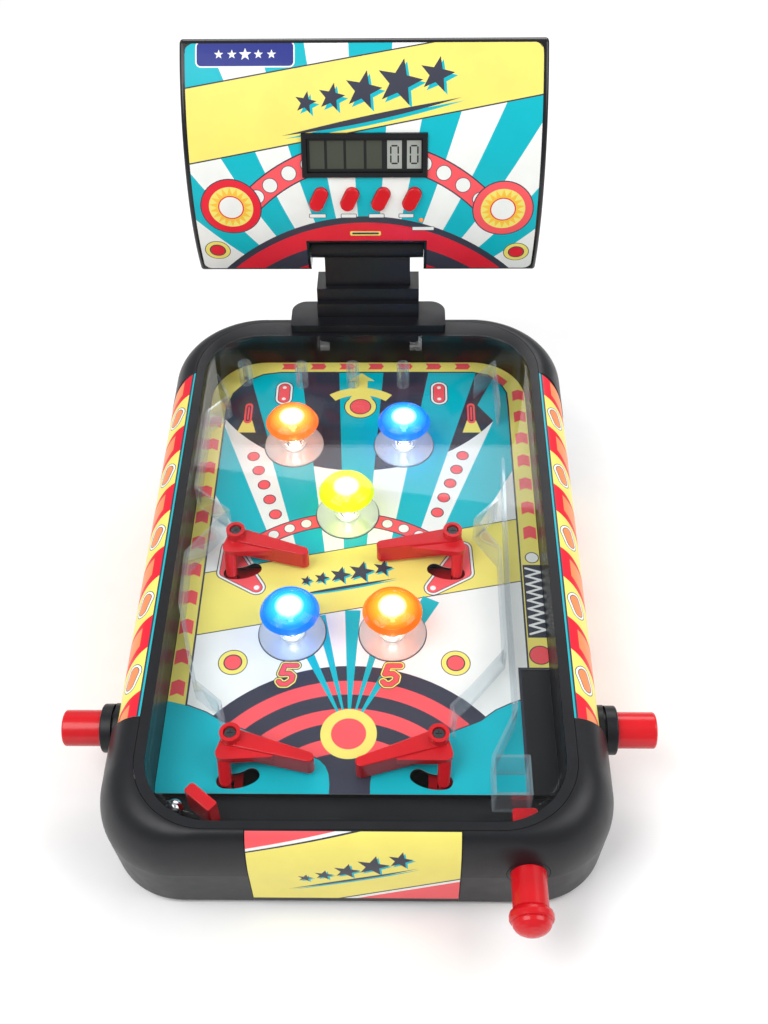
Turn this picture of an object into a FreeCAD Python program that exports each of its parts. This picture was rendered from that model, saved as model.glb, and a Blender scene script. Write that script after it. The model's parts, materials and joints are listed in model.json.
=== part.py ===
"""Tabletop electronic pinball game: housing, playfield, flipper linkages, plunger and tilting head.

Millimetres, +Z up, +X to the player's right, +Y away from the player. The origin is at the middle of
the footprint of the whole machine, on the plane that its feet stand on.

Everything on the playfield is built in a deck frame: u right, v back, w out of the deck. The plane
w = 0 is the top of the bezel, and v = 0 is the front edge of the window. The deck rises to the back.
The head is built in a side frame: y back and z up from the deck's own front edge.
"""
import FreeCAD
import Part
import math
import os
from FreeCAD import Placement, Rotation, Vector

# ---- driving dimensions: deck and window ----
DECK_SLOPE = 6.0            # degrees
DECK_HEIGHT = 80.0          # table to the front edge of the window
WINDOW_HALF = 125.0         # half the width of the window
WINDOW_LENGTH = 414.0
WINDOW_CORNER = 42.0
BEZEL_WIDTH = 6.5           # flat black strip beside the window
BEZEL_FRONT = 5.0           # the same strip at the front
BEZEL_REAR = 17.0           # and at the back
BEZEL_THICK = 4.0
WELL_REAR = 10.0            # how far the well runs on under the back of the bezel
FIELD_DEPTH = 37.0          # bezel top down to the printed playfield
FIELD_LINE = -13.8          # u of the playfield's own centre line, left of the ball lane

# ---- walls and gaps ----
WALL = 2.4                  # housing shells
THIN_WALL = 2.2             # well walls and inner ribs
GAP = 0.3                   # between neighbouring fixed pieces
RUNNING = 0.08              # radial clearance of a running fit
SIDE_BULGE = 18.5           # how far the flanks stand out past the bezel
SIDE_DROP = 24.0            # height over which they do it
FRONT_BULGE = 24.0
FRONT_DROP = 36.0
FRONT_REACH = 12.5          # how far the front stands out past the bezel
REAR_BULGE = 19.5
REAR_DROP = 28.0
REAR_REACH = 14.0
PANEL_THICK = 1.2           # printed side panels
FLOOR_CLEAR = 4.2           # table to the underside of the base
FLOOR_THICK = 2.5
TRAY_WALL_HEIGHT = 12.0
FOOT_RADIUS = 9.0
FRONT_SEAM = 68.0           # v where the side panels meet the front shells
REAR_SEAM = 372.0           # v where the side panels meet the rear cap
REAR_SEAM_LOW = 348.0
PANEL_FRONT_HALF = 62.0     # half width of the front panel
COVER_THICK = 2.0
COVER_RISE = 3.4            # cover top above the bezel
COVER_SKIRT = 5.0
COVER_EDGE = 2.6

# ---- playfield moulding ----
BOARD_THICK = 2.0
OVERLAY_THICK = 0.4
TROUGH_LENGTH = 36.0        # v of the step down into the ball trough
TROUGH_STEP = 5.0
TRAY_SKIRT = 11.2           # depth of the moulding's rim below the overlay
LANE_U = 106.0              # the bare lane at the right, in front of LANE_V
LANE_V = 127.0
GUIDE_THICK = 2.0
GUIDE_HEIGHT = 22.0
BALL_DIAMETER = 11.0
BALL_AT = (-110.5, 26.0)
LANE_POSTS = (-39.5, 1.3, 41.4)   # beside the field line
LANE_POST_V = 397.5
LANE_POST_RADIUS = 5.0
LANE_POST_BORE = 3.4
CORNER_BOSS = (-98.6, 401.0)

# ---- bumpers: name, u beside the field line, v ----
BUMPERS = (
    ("rear_left", -42.0, 330.2),
    ("rear_right", 42.2, 330.2),
    ("middle", 1.2, 260.3),
    ("front_left", -33.0, 155.2),
    ("front_right", 34.8, 155.2),
)
DISC_RADIUS = 22.5
DISC_THICK = 1.2
DISC_BORE = 7.0
SPRING_RADIUS = 5.0
SPRING_WIRE = 1.1
SPRING_TOP = 18.0
SPRING_TURNS = 5
CAP_RADIUS = 19.8
CAP_RIM_HEIGHT = 25.5
CAP_TOP_HEIGHT = 33.0
CAP_SOCKET_HEIGHT = 15.0
CAP_WALL = 1.5
CAP_PIVOT_HEIGHT = 17.0
LAMP_RADIUS = 2.5
LAMP_STEM = 1.5

# ---- flippers: name, side, u beside the field line, v, angle of the arm at rest ----
FLIPPERS = (
    ("lower_left_flipper", -1, 64.6, 65.8, 16.0),
    ("lower_right_flipper", 1, 64.0, 65.8, 19.5),
    ("upper_left_flipper", -1, 75.8, 227.4, 17.5),
    ("upper_right_flipper", 1, 76.4, 227.4, 10.5),
)
ARM_LENGTH = 54.0
ARM_LOW = 3.0
ARM_TOP = 18.0
ARM_TIP_RADIUS = 3.6
BOSS_RADIUS = 6.6
BOSS_TOP = 23.0
PIVOT_RADIUS = 2.5
PIVOT_TOP = 19.6
CRANK_RADIUS = 21.5
CRANK_ANGLE = -98.0
CRANK_FOOT = 4.0
CRANK_PIN = 3.0
FLIPPER_SWEEP = 42.0
SLOT_HALF = 5.2

# ---- buttons and drive bars ----
BUTTON_RADIUS = 11.5
BUTTON_REACH = 188.0        # x of the button's outer end
BUTTON_INNER = 147.0
BUTTON_V = 82.4
BUTTON_W = -38.8
COLLAR_RADIUS = 15.5
COLLAR_REACH = 163.0
BOSS_REACH = 15.9           # radius of the shell's boss round a button
TAB_CLEAR = 7.5             # half width of the notch a drive bar's tab moves in
BAR_THICK = 2.8
BAR_TOP = -49.2             # w of the bar's upper face
BAR_PLAY = 0.6
BAR_HALF = 13.0
PEG_RADIUS = 2.4
PEG_AT = (118.0, 176.0)
RETURN_RADIUS = 3.0
RETURN_WIRE = 0.9
RETURN_POST = 88.0          # |x| of the fixed end of the return springs

# ---- plunger ----
PLUNGER_U = 101.0
PLUNGER_W = -30.5
PLUNGER_RADIUS = 10.5
KNOB_RADIUS = 13.0
KNOB_END = -54.0            # v
KNOB_START = -39.0
DOME_RADIUS = 11.4          # of the knob's rounded end
DOME_LENGTH = 7.5
SLEEVE_END = 3.0
TONGUE_END = 22.0
TONGUE_HALF = 7.5
TONGUE_HEIGHT = 8.0
GUIDE_WALL = 2.0
PLUNGER_PULL = 28.0
LUG_V = 20.0                # the lug under the tongue that the spring pulls on
LUG_SLOT = 2.6              # half width of the slots it moves in
SPRING_POST_V = 62.0
SPRING_PIN = 2.2            # radius of the post
PIN_SEAT = 0.05             # clearance of the pins in the moulding

# ---- ball gate ----
GATE_AT = (-99.5, 31.0)
GATE_TIP = (12.0, -10.0)
GATE_HALF = 3.9             # half the gate's thickness
GATE_HEIGHT = 21.5
GATE_PIN = 1.8

# ---- head: y back and z up from the deck's front edge ----
HEAD_HALF = 130.0
HEAD_RADIUS = 145.5         # of the curved front
HEAD_CENTRE = (566.0, 153.4)
HEAD_LOW = -26.6            # angles of the front's ends
HEAD_HIGH = 46.6
HEAD_BACK = ((464.0, 92.0), (461.0, 160.0), (491.0, 243.0))
HEAD_SPLIT = 16.0           # depth of the front shell
HEAD_ROUND = 5.0
LABEL_THICK = 0.5
LABEL_MARGIN = 4.0
DISPLAY_ANGLE = 14.8
DISPLAY_WIDTH = 90.0
DISPLAY_HEIGHT = 31.0
DISPLAY_FRAME = 3.4
KEY_ANGLE = 2.1
KEY_SPACING = 22.7
KEY_WIDTH = 10.4
KEY_LENGTH = 19.0
KEY_SLANT = 25.0
KEY_PROUD = 2.6
KEY_TRAVEL = 1.5
HINGE_AT = (440.0, 108.0)
BARREL_RADIUS = 9.0
BARREL_HALF = 43.1
HINGE_PIN = 3.0
PIN_REACH = 5.0
NECK_HALF = 33.0
NECK_THICK = 12.0
NOTCH_HALF = 43.5
NOTCH_TOP = 120.0
SCREW_BOSS = 5.2            # radius
SCREW_SINK = 3.4            # depth of the screws' counterbores
HEAD_SCREWS = ((-112.0, 108.0), (112.0, 108.0), (-112.0, 222.0), (112.0, 222.0))
BRACKET_HALF = 40.0
FLANGE_HALF = 61.0
FLANGE_V = (417.5, 447.0)
FLANGE_HEIGHT = 8.0

# ---- electrics and base ----
TRAY_FRONT = -4.6           # y of the base tray's front edge
BAY_HALF = 25.5
BAY_Y = (272.0, 328.0)
BAY_HEIGHT = 17.0
SPEAKER_AT = (88.0, 330.0)
SPEAKER_RADIUS = 25.0
FEET = ((-112.0, 26.0), (112.0, 26.0), (-112.0, 418.0), (112.0, 418.0))
BASE_SCREWS = ((-128.0, 130.0), (128.0, 130.0), (-128.0, 320.0), (128.0, 320.0), (-70.0, 14.0), (60.0, 14.0))

FIELD_W = -FIELD_DEPTH
BOARD_W = FIELD_W - OVERLAY_THICK
TROUGH_W = FIELD_W - TROUGH_STEP
BEZEL_HALF = WINDOW_HALF + BEZEL_WIDTH
BEZEL_BACK = WINDOW_LENGTH + BEZEL_REAR
DEEP = 150.0                # far enough below the deck to pass the table
DECK = Placement(Vector(0, 0, DECK_HEIGHT), Rotation(Vector(1, 0, 0), DECK_SLOPE))
SIDE = Placement(Vector(0, 0, DECK_HEIGHT), Rotation())


# ---------------------------------------------------------------- helpers
def moved(shape, placement):
    result = shape.copy()
    result.Placement = placement.multiply(result.Placement)
    return result


def on_deck(shape):
    return moved(shape, DECK)


def block(x0, x1, y0, y1, z0, z1):
    return Part.makeBox(x1 - x0, y1 - y0, z1 - z0, Vector(x0, y0, z0))


def rod(radius, start, end):
    start = Vector(*start)
    axis = Vector(*end) - start
    return Part.makeCylinder(radius, axis.Length, start, axis)


def tube(outer, inner, start, end):
    return rod(outer, start, end).cut(rod(inner, start, end))


def fused(shapes):
    result = shapes[0].fuse(shapes[1:]) if len(shapes) > 1 else shapes[0]
    return result.removeSplitter()


def mirror_x(shape):
    return shape.mirror(Vector(0, 0, 0), Vector(1, 0, 0))


def polar(radius, angle):
    return radius * math.cos(math.radians(angle)), radius * math.sin(math.radians(angle))


def rounded_wire(half, front, back, front_corner, back_corner, z):
    """A rectangle with rounded corners, as one closed wire at height z."""
    corners = (
        (half - front_corner, front + front_corner, front_corner, -90),
        (half - back_corner, back - back_corner, back_corner, 0),
        (-half + back_corner, back - back_corner, back_corner, 90),
        (-half + front_corner, front + front_corner, front_corner, 180),
    )
    arcs = []
    for x, y, radius, start in corners:
        points = []
        for turn in (0, 45, 90):
            dx, dy = polar(radius, start + turn)
            points.append(Vector(x + dx, y + dy, z))
        arcs.append(points)
    edges = []
    for index, points in enumerate(arcs):
        edges.append(Part.Arc(*points).toShape())
        edges.append(Part.makeLine(points[2], arcs[(index + 1) % 4][0]))
    return Part.Wire(edges)


def plate(half, front, back, front_corner, back_corner, z0, z1):
    face = Part.Face(rounded_wire(half, front, back, front_corner, back_corner, z0))
    return face.extrude(Vector(0, 0, z1 - z0))


def window_plate(inset, z0, z1):
    """The window's outline, drawn in by inset."""
    corner = WINDOW_CORNER - inset
    return plate(WINDOW_HALF - inset, inset, WINDOW_LENGTH - inset, corner, corner, z0, z1)


def well_plate(inset, z0, z1):
    """The outline of the well under the window, drawn in by inset."""
    corner = WINDOW_CORNER - inset
    return plate(WINDOW_HALF - inset, inset, WINDOW_LENGTH + WELL_REAR - inset, corner, corner, z0, z1)


def side_prism(points, x0, x1):
    """A polygon of (y, z) points, drawn out along X."""
    corners = [Vector(x0, y, z) for y, z in points]
    return Part.Face(Part.makePolygon(corners + corners[:1])).extrude(Vector(x1 - x0, 0, 0))


def capsule_face(circles, z):
    """The outline round a convex chain of circles (x, y, radius), listed anticlockwise."""
    count = len(circles)
    ends = []
    for index in range(count):
        ax, ay, ar = circles[index]
        bx, by, br = circles[(index + 1) % count]
        distance = math.hypot(bx - ax, by - ay)
        heading = math.atan2(by - ay, bx - ax)
        normal = heading - math.acos((ar - br) / distance)
        step = Vector(math.cos(normal), math.sin(normal), 0)
        ends.append((Vector(ax, ay, z) + step * ar, Vector(bx, by, z) + step * br, normal))
    edges = []
    for index in range(count):
        start, end, normal = ends[index]
        following, _, next_normal = ends[(index + 1) % count]
        x, y, radius = circles[(index + 1) % count]
        turn = (next_normal - normal) % (2 * math.pi)
        middle = Vector(x, y, z) + Vector(math.cos(normal + turn / 2), math.sin(normal + turn / 2), 0) * radius
        edges.append(Part.makeLine(start, end))
        edges.append(Part.Arc(end, middle, following).toShape())
    return Part.Face(Part.Wire(edges))


def capsule_plate(circles, z0, z1):
    return capsule_face(circles, z0).extrude(Vector(0, 0, z1 - z0))


def wall_run(points, thick, z0, z1):
    """A thin wall that follows a line of points, with rounded ends and turns."""
    pieces = []
    for (ax, ay), (bx, by) in zip(points, points[1:]):
        pieces.append(capsule_plate([(ax, ay, thick / 2), (bx, by, thick / 2)], z0, z1))
    return fused(pieces)


def arc_slot(centre, radius, start, end, half, z0, z1):
    """A curved slot about centre, from one angle to another."""
    x, y = centre
    middle = (start + end) / 2
    edges = []
    for reach, angles in ((radius + half, (start, middle, end)), (radius - half, (end, middle, start))):
        points = []
        for angle in angles:
            dx, dy = polar(reach, angle)
            points.append(Vector(x + dx, y + dy, z0))
        edges.append(points)
    wire = Part.Wire([
        Part.Arc(*edges[0]).toShape(),
        Part.makeLine(edges[0][2], edges[1][0]),
        Part.Arc(*edges[1]).toShape(),
        Part.makeLine(edges[1][2], edges[0][0]),
    ])
    pieces = [Part.Face(wire).extrude(Vector(0, 0, z1 - z0))]
    for angle in (start, end):
        dx, dy = polar(radius, angle)
        pieces.append(rod(half, (x + dx, y + dy, z0), (x + dx, y + dy, z1)))
    return fused(pieces)


def revolved(profile):
    """A solid of revolution about Z from (radius, z) points."""
    points = [Vector(r, 0, z) for r, z in profile]
    face = Part.Face(Part.makePolygon(points + points[:1]))
    return face.revolve(Vector(0, 0, 0), Vector(0, 0, 1), 360)


def coil(radius, wire, length, turns):
    """A helical spring along +Z, starting at the origin."""
    pitch = length / turns
    path = Part.Wire(Part.makeLongHelix(pitch, length, radius))
    lean = Vector(0, 2 * math.pi * radius, pitch)
    section = Part.Wire(Part.makeCircle(wire / 2, Vector(radius, 0, 0), lean))
    return path.makePipeShell([section], True, True)


def drape(bulge, drop, inset, steps=8):
    """(outward, down) points of the rounded shoulder between the bezel and a flank."""
    points = []
    for step in range(steps + 1):
        turn = math.radians(90.0 * step / steps)
        outward = (bulge - inset) * math.sin(turn)
        down = inset + (drop - inset) * (1 - math.cos(turn))
        points.append((outward, down))
    return points


def envelope(end, inset):
    """The closed outer form of the front or rear of the housing, drawn in by inset."""
    front = end == "front"
    bulge, drop, reach = (FRONT_BULGE, FRONT_DROP, FRONT_REACH) if front else (REAR_BULGE, REAR_DROP, REAR_REACH)

    def section(outward, down, tuck=0.0):
        half = BEZEL_HALF + outward
        along = reach * outward / bulge - inset * (1 - outward / bulge) - tuck
        if front:
            return rounded_wire(half, -BEZEL_FRONT - along, 200.0, 47.0 + 0.1 * outward - inset, 8.0, -down)
        return rounded_wire(half, 200.0, BEZEL_BACK + along, 8.0, 54.0 + 0.4 * outward - inset, -down)

    shoulder = drape(bulge, drop, inset, 6)
    skirt = [shoulder[-1], (shoulder[-1][0] - (3.5 if front else 1.5), DEEP)]
    upper = Part.makeLoft([section(*point) for point in shoulder], True, False)
    lower = Part.makeLoft([section(*skirt[0]), section(*skirt[1], tuck=3.0 if front else 9.0)], True, True)
    return upper.fuse(lower)


def flank(inset, thick, v0, v1):
    """The curved side wall of one flank (at +X), between two depths below its outer face."""
    outer = drape(SIDE_BULGE, SIDE_DROP, inset)
    inner = drape(SIDE_BULGE, SIDE_DROP, inset + thick)

    def curve(points):
        line = Part.BSplineCurve()
        line.interpolate([Vector(BEZEL_HALF + out, v0, -down) for out, down in points])
        return line.toShape()

    def corner(out, down):
        return Vector(BEZEL_HALF + out, v0, -down)

    inward = -4.0 * (inset > 0)
    edges = [
        Part.makeLine(corner(inward, inset), corner(*outer[0])) if inward else None,
        curve(outer),
        Part.makeLine(corner(*outer[-1]), corner(outer[-1][0], DEEP)),
        Part.makeLine(corner(outer[-1][0], DEEP), corner(inner[-1][0], DEEP)),
        Part.makeLine(corner(inner[-1][0], DEEP), corner(*inner[-1])),
        curve(inner),
        Part.makeLine(corner(*inner[0]), corner(inward, inset + thick)) if inward else None,
        Part.makeLine(corner(inward, inset + thick), corner(inward, inset)),
    ]
    wire = Part.Wire(Part.__sortEdges__([edge for edge in edges if edge]))
    return Part.Face(wire).extrude(Vector(0, v1 - v0, 0))


def above_floor(shape, height):
    """A world-frame shape with everything below a height taken off."""
    return shape.cut(block(-400, 400, -400, 900, -400, height))


def front_region(grow):
    """Deck-frame solid that holds what belongs to the front shells, grown by a gap."""
    seam = FRONT_SEAM + grow
    back = BUTTON_V + BOSS_REACH + grow
    ahead = side_prism([(-80, 20), (seam, 20), (seam, BUTTON_W), (back, BUTTON_W), (back, -DEEP), (-80, -DEEP)],
                       -220, 220)
    boss = rod(BOSS_REACH + grow, (-220, BUTTON_V, BUTTON_W), (220, BUTTON_V, BUTTON_W))
    return ahead.fuse(boss)


def between_flanks(grow):
    """The solid inside the outer faces of both side panels, grown by a gap."""
    right = [(BEZEL_HALF + out, -down) for out, down in drape(SIDE_BULGE, SIDE_DROP, -grow)]
    right = [(BEZEL_HALF, 20)] + right + [(right[-1][0], -DEEP)]
    outline = right + [(-u, w) for u, w in reversed(right)]
    corners = [Vector(u, 0, w) for u, w in outline]
    return Part.Face(Part.makePolygon(corners + corners[:1])).extrude(Vector(0, WINDOW_LENGTH, 0))


def rear_region(grow):
    """The same for the rear cap."""
    seam = REAR_SEAM - grow
    low = REAR_SEAM_LOW - grow
    return side_prism([(seam, 20), (seam, 0), (low, -SIDE_DROP), (low, -DEEP), (520, -DEEP), (520, 20)], -220, 220)


def flipper_pivot(side, beside, v):
    return FIELD_LINE + side * beside, v


def bumper_at(beside, v):
    return FIELD_LINE + beside, v


# ---------------------------------------------------------------- housing
def make_upper_housing():
    ring = plate(BEZEL_HALF, -BEZEL_FRONT, BEZEL_BACK, 47.0, 54.0, -BEZEL_THICK, 0)
    well = well_plate(-THIN_WALL, -TRAY_SKIRT + FIELD_W + 2.0, -BEZEL_THICK)
    side = flank(PANEL_THICK + GAP, WALL, FRONT_SEAM + GAP, REAR_SEAM_LOW - GAP)
    shell = fused([ring, well, side, mirror_x(side)])
    shell = shell.cut(window_plate(0, -BEZEL_THICK - 1, 10)).cut(well_plate(0, -DEEP, -BEZEL_THICK))
    shell = shell.cut(front_region(GAP).cut(block(-BEZEL_HALF, BEZEL_HALF, -90, 300, -DEEP, 30)))
    hole = rod(PLUNGER_RADIUS + GUIDE_WALL + GAP, (PLUNGER_U, -40, PLUNGER_W), (PLUNGER_U, 20, PLUNGER_W))
    shell = shell.cut(hole.common(block(-200, 200, -40, 20, -DEEP, -BEZEL_THICK - 4)))
    shell = shell.cut(block(PLUNGER_U - LUG_SLOT, PLUNGER_U + LUG_SLOT, -20, 12, -DEEP, PLUNGER_W))
    return above_floor(on_deck(shell), FLOOR_CLEAR + 0.4)


def make_side_panel():
    panel = flank(0, PANEL_THICK, FRONT_SEAM, REAR_SEAM)
    panel = panel.cut(block(0, BEZEL_HALF + GAP, -10, 500, -DEEP, 10))
    panel = panel.cut(front_region(GAP)).cut(rear_region(GAP))
    return above_floor(on_deck(panel), FLOOR_CLEAR + 1.0)


def bezel_clearance():
    return plate(BEZEL_HALF + GAP, -BEZEL_FRONT - GAP, BEZEL_BACK + GAP, 47.0 + GAP, 54.0 + GAP, -BEZEL_THICK - GAP, 20)


def make_front_skin():
    """Both front shells and the front panel as one hollow form, before it is divided."""
    form = envelope("front", 0)
    rim = form.common(front_region(0).cut(front_region(-WALL))).cut(between_flanks(GAP))
    skin = form.cut(envelope("front", WALL)).common(front_region(0)).fuse(rim).cut(bezel_clearance())
    return skin.cut(well_plate(-THIN_WALL - GAP, -DEEP, 20))


def make_front_shell(skin):
    shell = skin.common(block(PANEL_FRONT_HALF + GAP, 200, -80, 200, -DEEP, 20))
    shell = shell.cut(rod(COLLAR_RADIUS - 2.0, (120, BUTTON_V, BUTTON_W), (200, BUTTON_V, BUTTON_W)))
    return shell


def make_rear_cap():
    skin = envelope("rear", 0).cut(envelope("rear", WALL))
    skin = skin.common(rear_region(0)).cut(bezel_clearance())
    skin = skin.cut(well_plate(-THIN_WALL - GAP, -DEEP, 20))
    return above_floor(on_deck(skin), FLOOR_CLEAR + 0.4)


def make_base_tray():
    outline = (145.6, TRAY_FRONT, 442.4, 45.0, 56.0)
    inner = (145.6 - THIN_WALL, TRAY_FRONT + THIN_WALL, 442.4 - THIN_WALL, 45.0 - THIN_WALL, 56.0 - THIN_WALL)
    top = FLOOR_CLEAR + FLOOR_THICK
    tray = plate(*outline, FLOOR_CLEAR, top + TRAY_WALL_HEIGHT)
    tray = tray.cut(plate(*inner, top, top + TRAY_WALL_HEIGHT + 1))
    bay_top = FLOOR_CLEAR + BAY_HEIGHT
    parts = [tray, block(-BAY_HALF - 2, BAY_HALF + 2, BAY_Y[0] - 2, BAY_Y[1] + 2, FLOOR_CLEAR, bay_top + 1.8)]
    for x, y in BASE_SCREWS:
        parts.append(rod(4.5, (x, y, FLOOR_CLEAR), (x, y, top + 20)))
    for side in (-1, 1):
        parts.append(block(side * RETURN_POST - 1.5, side * RETURN_POST + 1.5, 83, 93, FLOOR_CLEAR, 35))
    parts.append(tube(SPEAKER_RADIUS + 2.6, SPEAKER_RADIUS + 0.4, (*SPEAKER_AT, FLOOR_CLEAR), (*SPEAKER_AT, top + 6)))
    tray = fused(parts)
    tray = tray.cut(block(-BAY_HALF, BAY_HALF, *BAY_Y, FLOOR_CLEAR - 1, bay_top))
    for x, y in BASE_SCREWS:
        tray = tray.cut(rod(1.7, (x, y, 0), (x, y, top + 30)))
        tray = tray.cut(rod(3.6, (x, y, 0), (x, y, FLOOR_CLEAR + 2.2)))
    for row in range(-3, 4):
        y = SPEAKER_AT[1] + 6.0 * row
        half = math.sqrt((SPEAKER_RADIUS - 4) ** 2 - (6.0 * row) ** 2) - 1
        tray = tray.cut(block(SPEAKER_AT[0] - half, SPEAKER_AT[0] + half, y - 1, y + 1, 0, top + 0.5))
    return tray


def make_battery_door():
    door = block(-BAY_HALF + GAP, BAY_HALF - GAP, BAY_Y[0] + GAP, BAY_Y[1] - GAP, FLOOR_CLEAR, FLOOR_CLEAR + 1.8)
    for row in range(5):
        y = BAY_Y[0] + 18 + 5.0 * row
        door = door.cut(block(-9, 9, y, y + 1.6, FLOOR_CLEAR - 1, FLOOR_CLEAR + 0.6))
    return door


def make_battery_contacts():
    plates = []
    for end, step in ((BAY_Y[0], 1), (BAY_Y[1], -1)):
        for column in (-1, 0, 1):
            near, far = sorted((end + 0.1 * step, end + 0.6 * step))
            leaf = block(16.5 * column - 5, 16.5 * column + 5, near, far, FLOOR_CLEAR + 3.5, FLOOR_CLEAR + 14.5)
            dimple = rod(2.0, (16.5 * column, end + 0.3 * step, FLOOR_CLEAR + 9),
                         (16.5 * column, end + 1.8 * step, FLOOR_CLEAR + 9))
            plates.append(leaf.fuse(dimple))
    return Part.makeCompound(plates)


def make_feet():
    feet = []
    for x, y in FEET:
        foot = rod(FOOT_RADIUS, (x, y, 0), (x, y, FLOOR_CLEAR))
        edges = [edge for edge in foot.Edges if edge.BoundBox.ZMax < 0.1]
        feet.append(foot.makeFillet(1.0, edges))
    return Part.makeCompound(feet)


def screw(x, y, z, head, shank, length):
    """A pan-head screw, head down at z, with a cross in it."""
    body = rod(head, (x, y, z), (x, y, z + 1.8)).fuse(rod(shank, (x, y, z + 1.8), (x, y, z + length)))
    body = body.cut(block(x - head * 0.6, x + head * 0.6, y - 0.35, y + 0.35, z - 1, z + 0.8))
    return body.cut(block(x - 0.35, x + 0.35, y - head * 0.6, y + head * 0.6, z - 1, z + 0.8))


def make_housing_screws():
    return Part.makeCompound([screw(x, y, FLOOR_CLEAR + 0.3, 3.2, 1.5, 18) for x, y in BASE_SCREWS])


def make_speaker():
    x, y = SPEAKER_AT
    z = FLOOR_CLEAR + FLOOR_THICK + 0.2
    profile = [(0, 3.0), (8, 3.0), (19, 0.8), (SPEAKER_RADIUS, 0.8), (SPEAKER_RADIUS, 2.4), (20, 2.6), (13, 7.0),
               (13, 14.0), (0, 14.0)]
    return moved(revolved(profile), Placement(Vector(x, y, z), Rotation()))


def make_cover():
    outer = window_plate(0.4, -COVER_SKIRT, COVER_RISE)
    rim = [edge for edge in outer.Edges if edge.BoundBox.ZMin > COVER_RISE - 0.1]
    outer = outer.makeFillet(COVER_EDGE, rim)
    inner = window_plate(0.4 + COVER_THICK, -COVER_SKIRT - 1, COVER_RISE - COVER_THICK)
    rim = [edge for edge in inner.Edges if edge.BoundBox.ZMin > COVER_RISE - COVER_THICK - 0.1]
    return outer.cut(inner.makeFillet(1.0, rim))


# ---------------------------------------------------------------- playfield
def field_slots(z0, z1):
    slots = []
    for _, side, beside, v, _ in FLIPPERS:
        centre = flipper_pivot(side, beside, v)
        angles = (CRANK_ANGLE - 2, CRANK_ANGLE + FLIPPER_SWEEP + 2)
        if side > 0:
            angles = (180 - angles[1], 180 - angles[0])
        slots.append(arc_slot(centre, CRANK_RADIUS, *angles, SLOT_HALF, z0, z1))
    return slots


def make_playfield_tray():
    low = FIELD_W - TRAY_SKIRT
    slab = well_plate(GAP, low, BOARD_W)
    flange = well_plate(-6.0, low, low + 1.7).cut(block(-200, 200, -90, -2.0, -DEEP, 0))
    notch = block(WINDOW_HALF + 1.0, 140, BUTTON_V - TAB_CLEAR, BUTTON_V + TAB_CLEAR, -DEEP, 0)
    slab = slab.fuse(flange.cut(notch).cut(mirror_x(notch)))
    under = well_plate(GAP + THIN_WALL, -DEEP, BOARD_W - BOARD_THICK)
    under = under.cut(block(-200, 200, -10, TROUGH_LENGTH + 2.0, TROUGH_W - 2.0, 0))
    slab = slab.cut(under)
    slab = slab.cut(block(-200, 200, -20, TROUGH_LENGTH, TROUGH_W, 0))
    cuts = field_slots(-DEEP, 0)
    for _, beside, v in BUMPERS:
        u, v = bumper_at(beside, v)
        cuts.append(rod(LAMP_STEM + 0.1, (u, v, -DEEP), (u, v, 0)))
    for radius, point, _, _ in pin_places():
        cuts.append(rod(radius + PIN_SEAT, (*point, -DEEP), (*point, 0)))
    cuts.append(block(PLUNGER_U - LUG_SLOT, PLUNGER_U + LUG_SLOT, -20, LUG_V + 3.0, -DEEP, TROUGH_W + 1))
    for cutter in cuts:
        slab = slab.cut(cutter)
    return slab


def pin_places():
    """Every pin in the playfield moulding: radius, (u, v), low end and high end."""
    pins = []
    for _, side, beside, v, _ in FLIPPERS:
        pins.append((PIVOT_RADIUS, flipper_pivot(side, beside, v), BOARD_W - BOARD_THICK, FIELD_W + PIVOT_TOP))
    pins.append((GATE_PIN, GATE_AT, TROUGH_W - 2.0, TROUGH_W + GATE_HEIGHT - 3))
    for side in (-1, 1):
        for v in PEG_AT:
            pins.append((PEG_RADIUS, (peg_u(side), v), BAR_TOP - BAR_THICK - 1.8, BOARD_W))
    pins.append((SPRING_PIN, (PLUNGER_U, SPRING_POST_V + SPRING_PIN + 0.2), TROUGH_W - 10.5, BOARD_W))
    return pins


def make_board_pins():
    """The pins that the flippers and the gate turn on, the headed pegs of the drive bars, a spring post."""
    solids = []
    for radius, point, low, high in pin_places():
        pin = rod(radius, (*point, low), (*point, high))
        if radius == PIVOT_RADIUS:
            pin = pin.cut(rod(1.3, (*point, high - 10), (*point, high + 1)))
        if radius == PEG_RADIUS:
            pin = pin.fuse(rod(radius + 2.0, (*point, low), (*point, low + 1.4)))
        solids.append(pin)
    return Part.makeCompound(solids)


def peg_u(side):
    """u of the pegs that hold a drive bar, midway between its two flippers' slots."""
    lower, upper = [flipper_pivot(s, b, v)[0] for _, s, b, v, _ in FLIPPERS if s == side]
    return (lower + upper) / 2 - side * 14.0


def make_overlay():
    sheet = well_plate(GAP, BOARD_W, FIELD_W)
    sheet = sheet.cut(block(-200, 200, -10, TROUGH_LENGTH, -DEEP, 0))
    sheet = sheet.cut(block(LANE_U, 200, -10, LANE_V, -DEEP, 0))
    for cutter in field_slots(-DEEP, 0):
        sheet = sheet.cut(cutter)
    for _, side, beside, v, _ in FLIPPERS:
        sheet = sheet.cut(rod(PIVOT_RADIUS + GAP, (*flipper_pivot(side, beside, v), -DEEP), (*flipper_pivot(side, beside, v), 0)))
    for _, beside, v in BUMPERS:
        sheet = sheet.cut(rod(LAMP_STEM + GAP, (*bumper_at(beside, v), -DEEP), (*bumper_at(beside, v), 0)))
    return sheet


def guide(points):
    return wall_run(points, GUIDE_THICK, FIELD_W + 0.1, FIELD_W + GUIDE_HEIGHT)


def make_left_guide():
    """One clear wall down the left side, with a deflector ahead of each flipper."""
    return guide([(-118.5, 386), (-107.5, 362), (-122.5, 345), (-122.5, 268), (-96.5, 246), (-122.5, 208),
                  (-121.5, 165), (-105.5, 104), (-87.0, 88), (-86.5, 78)])


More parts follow.
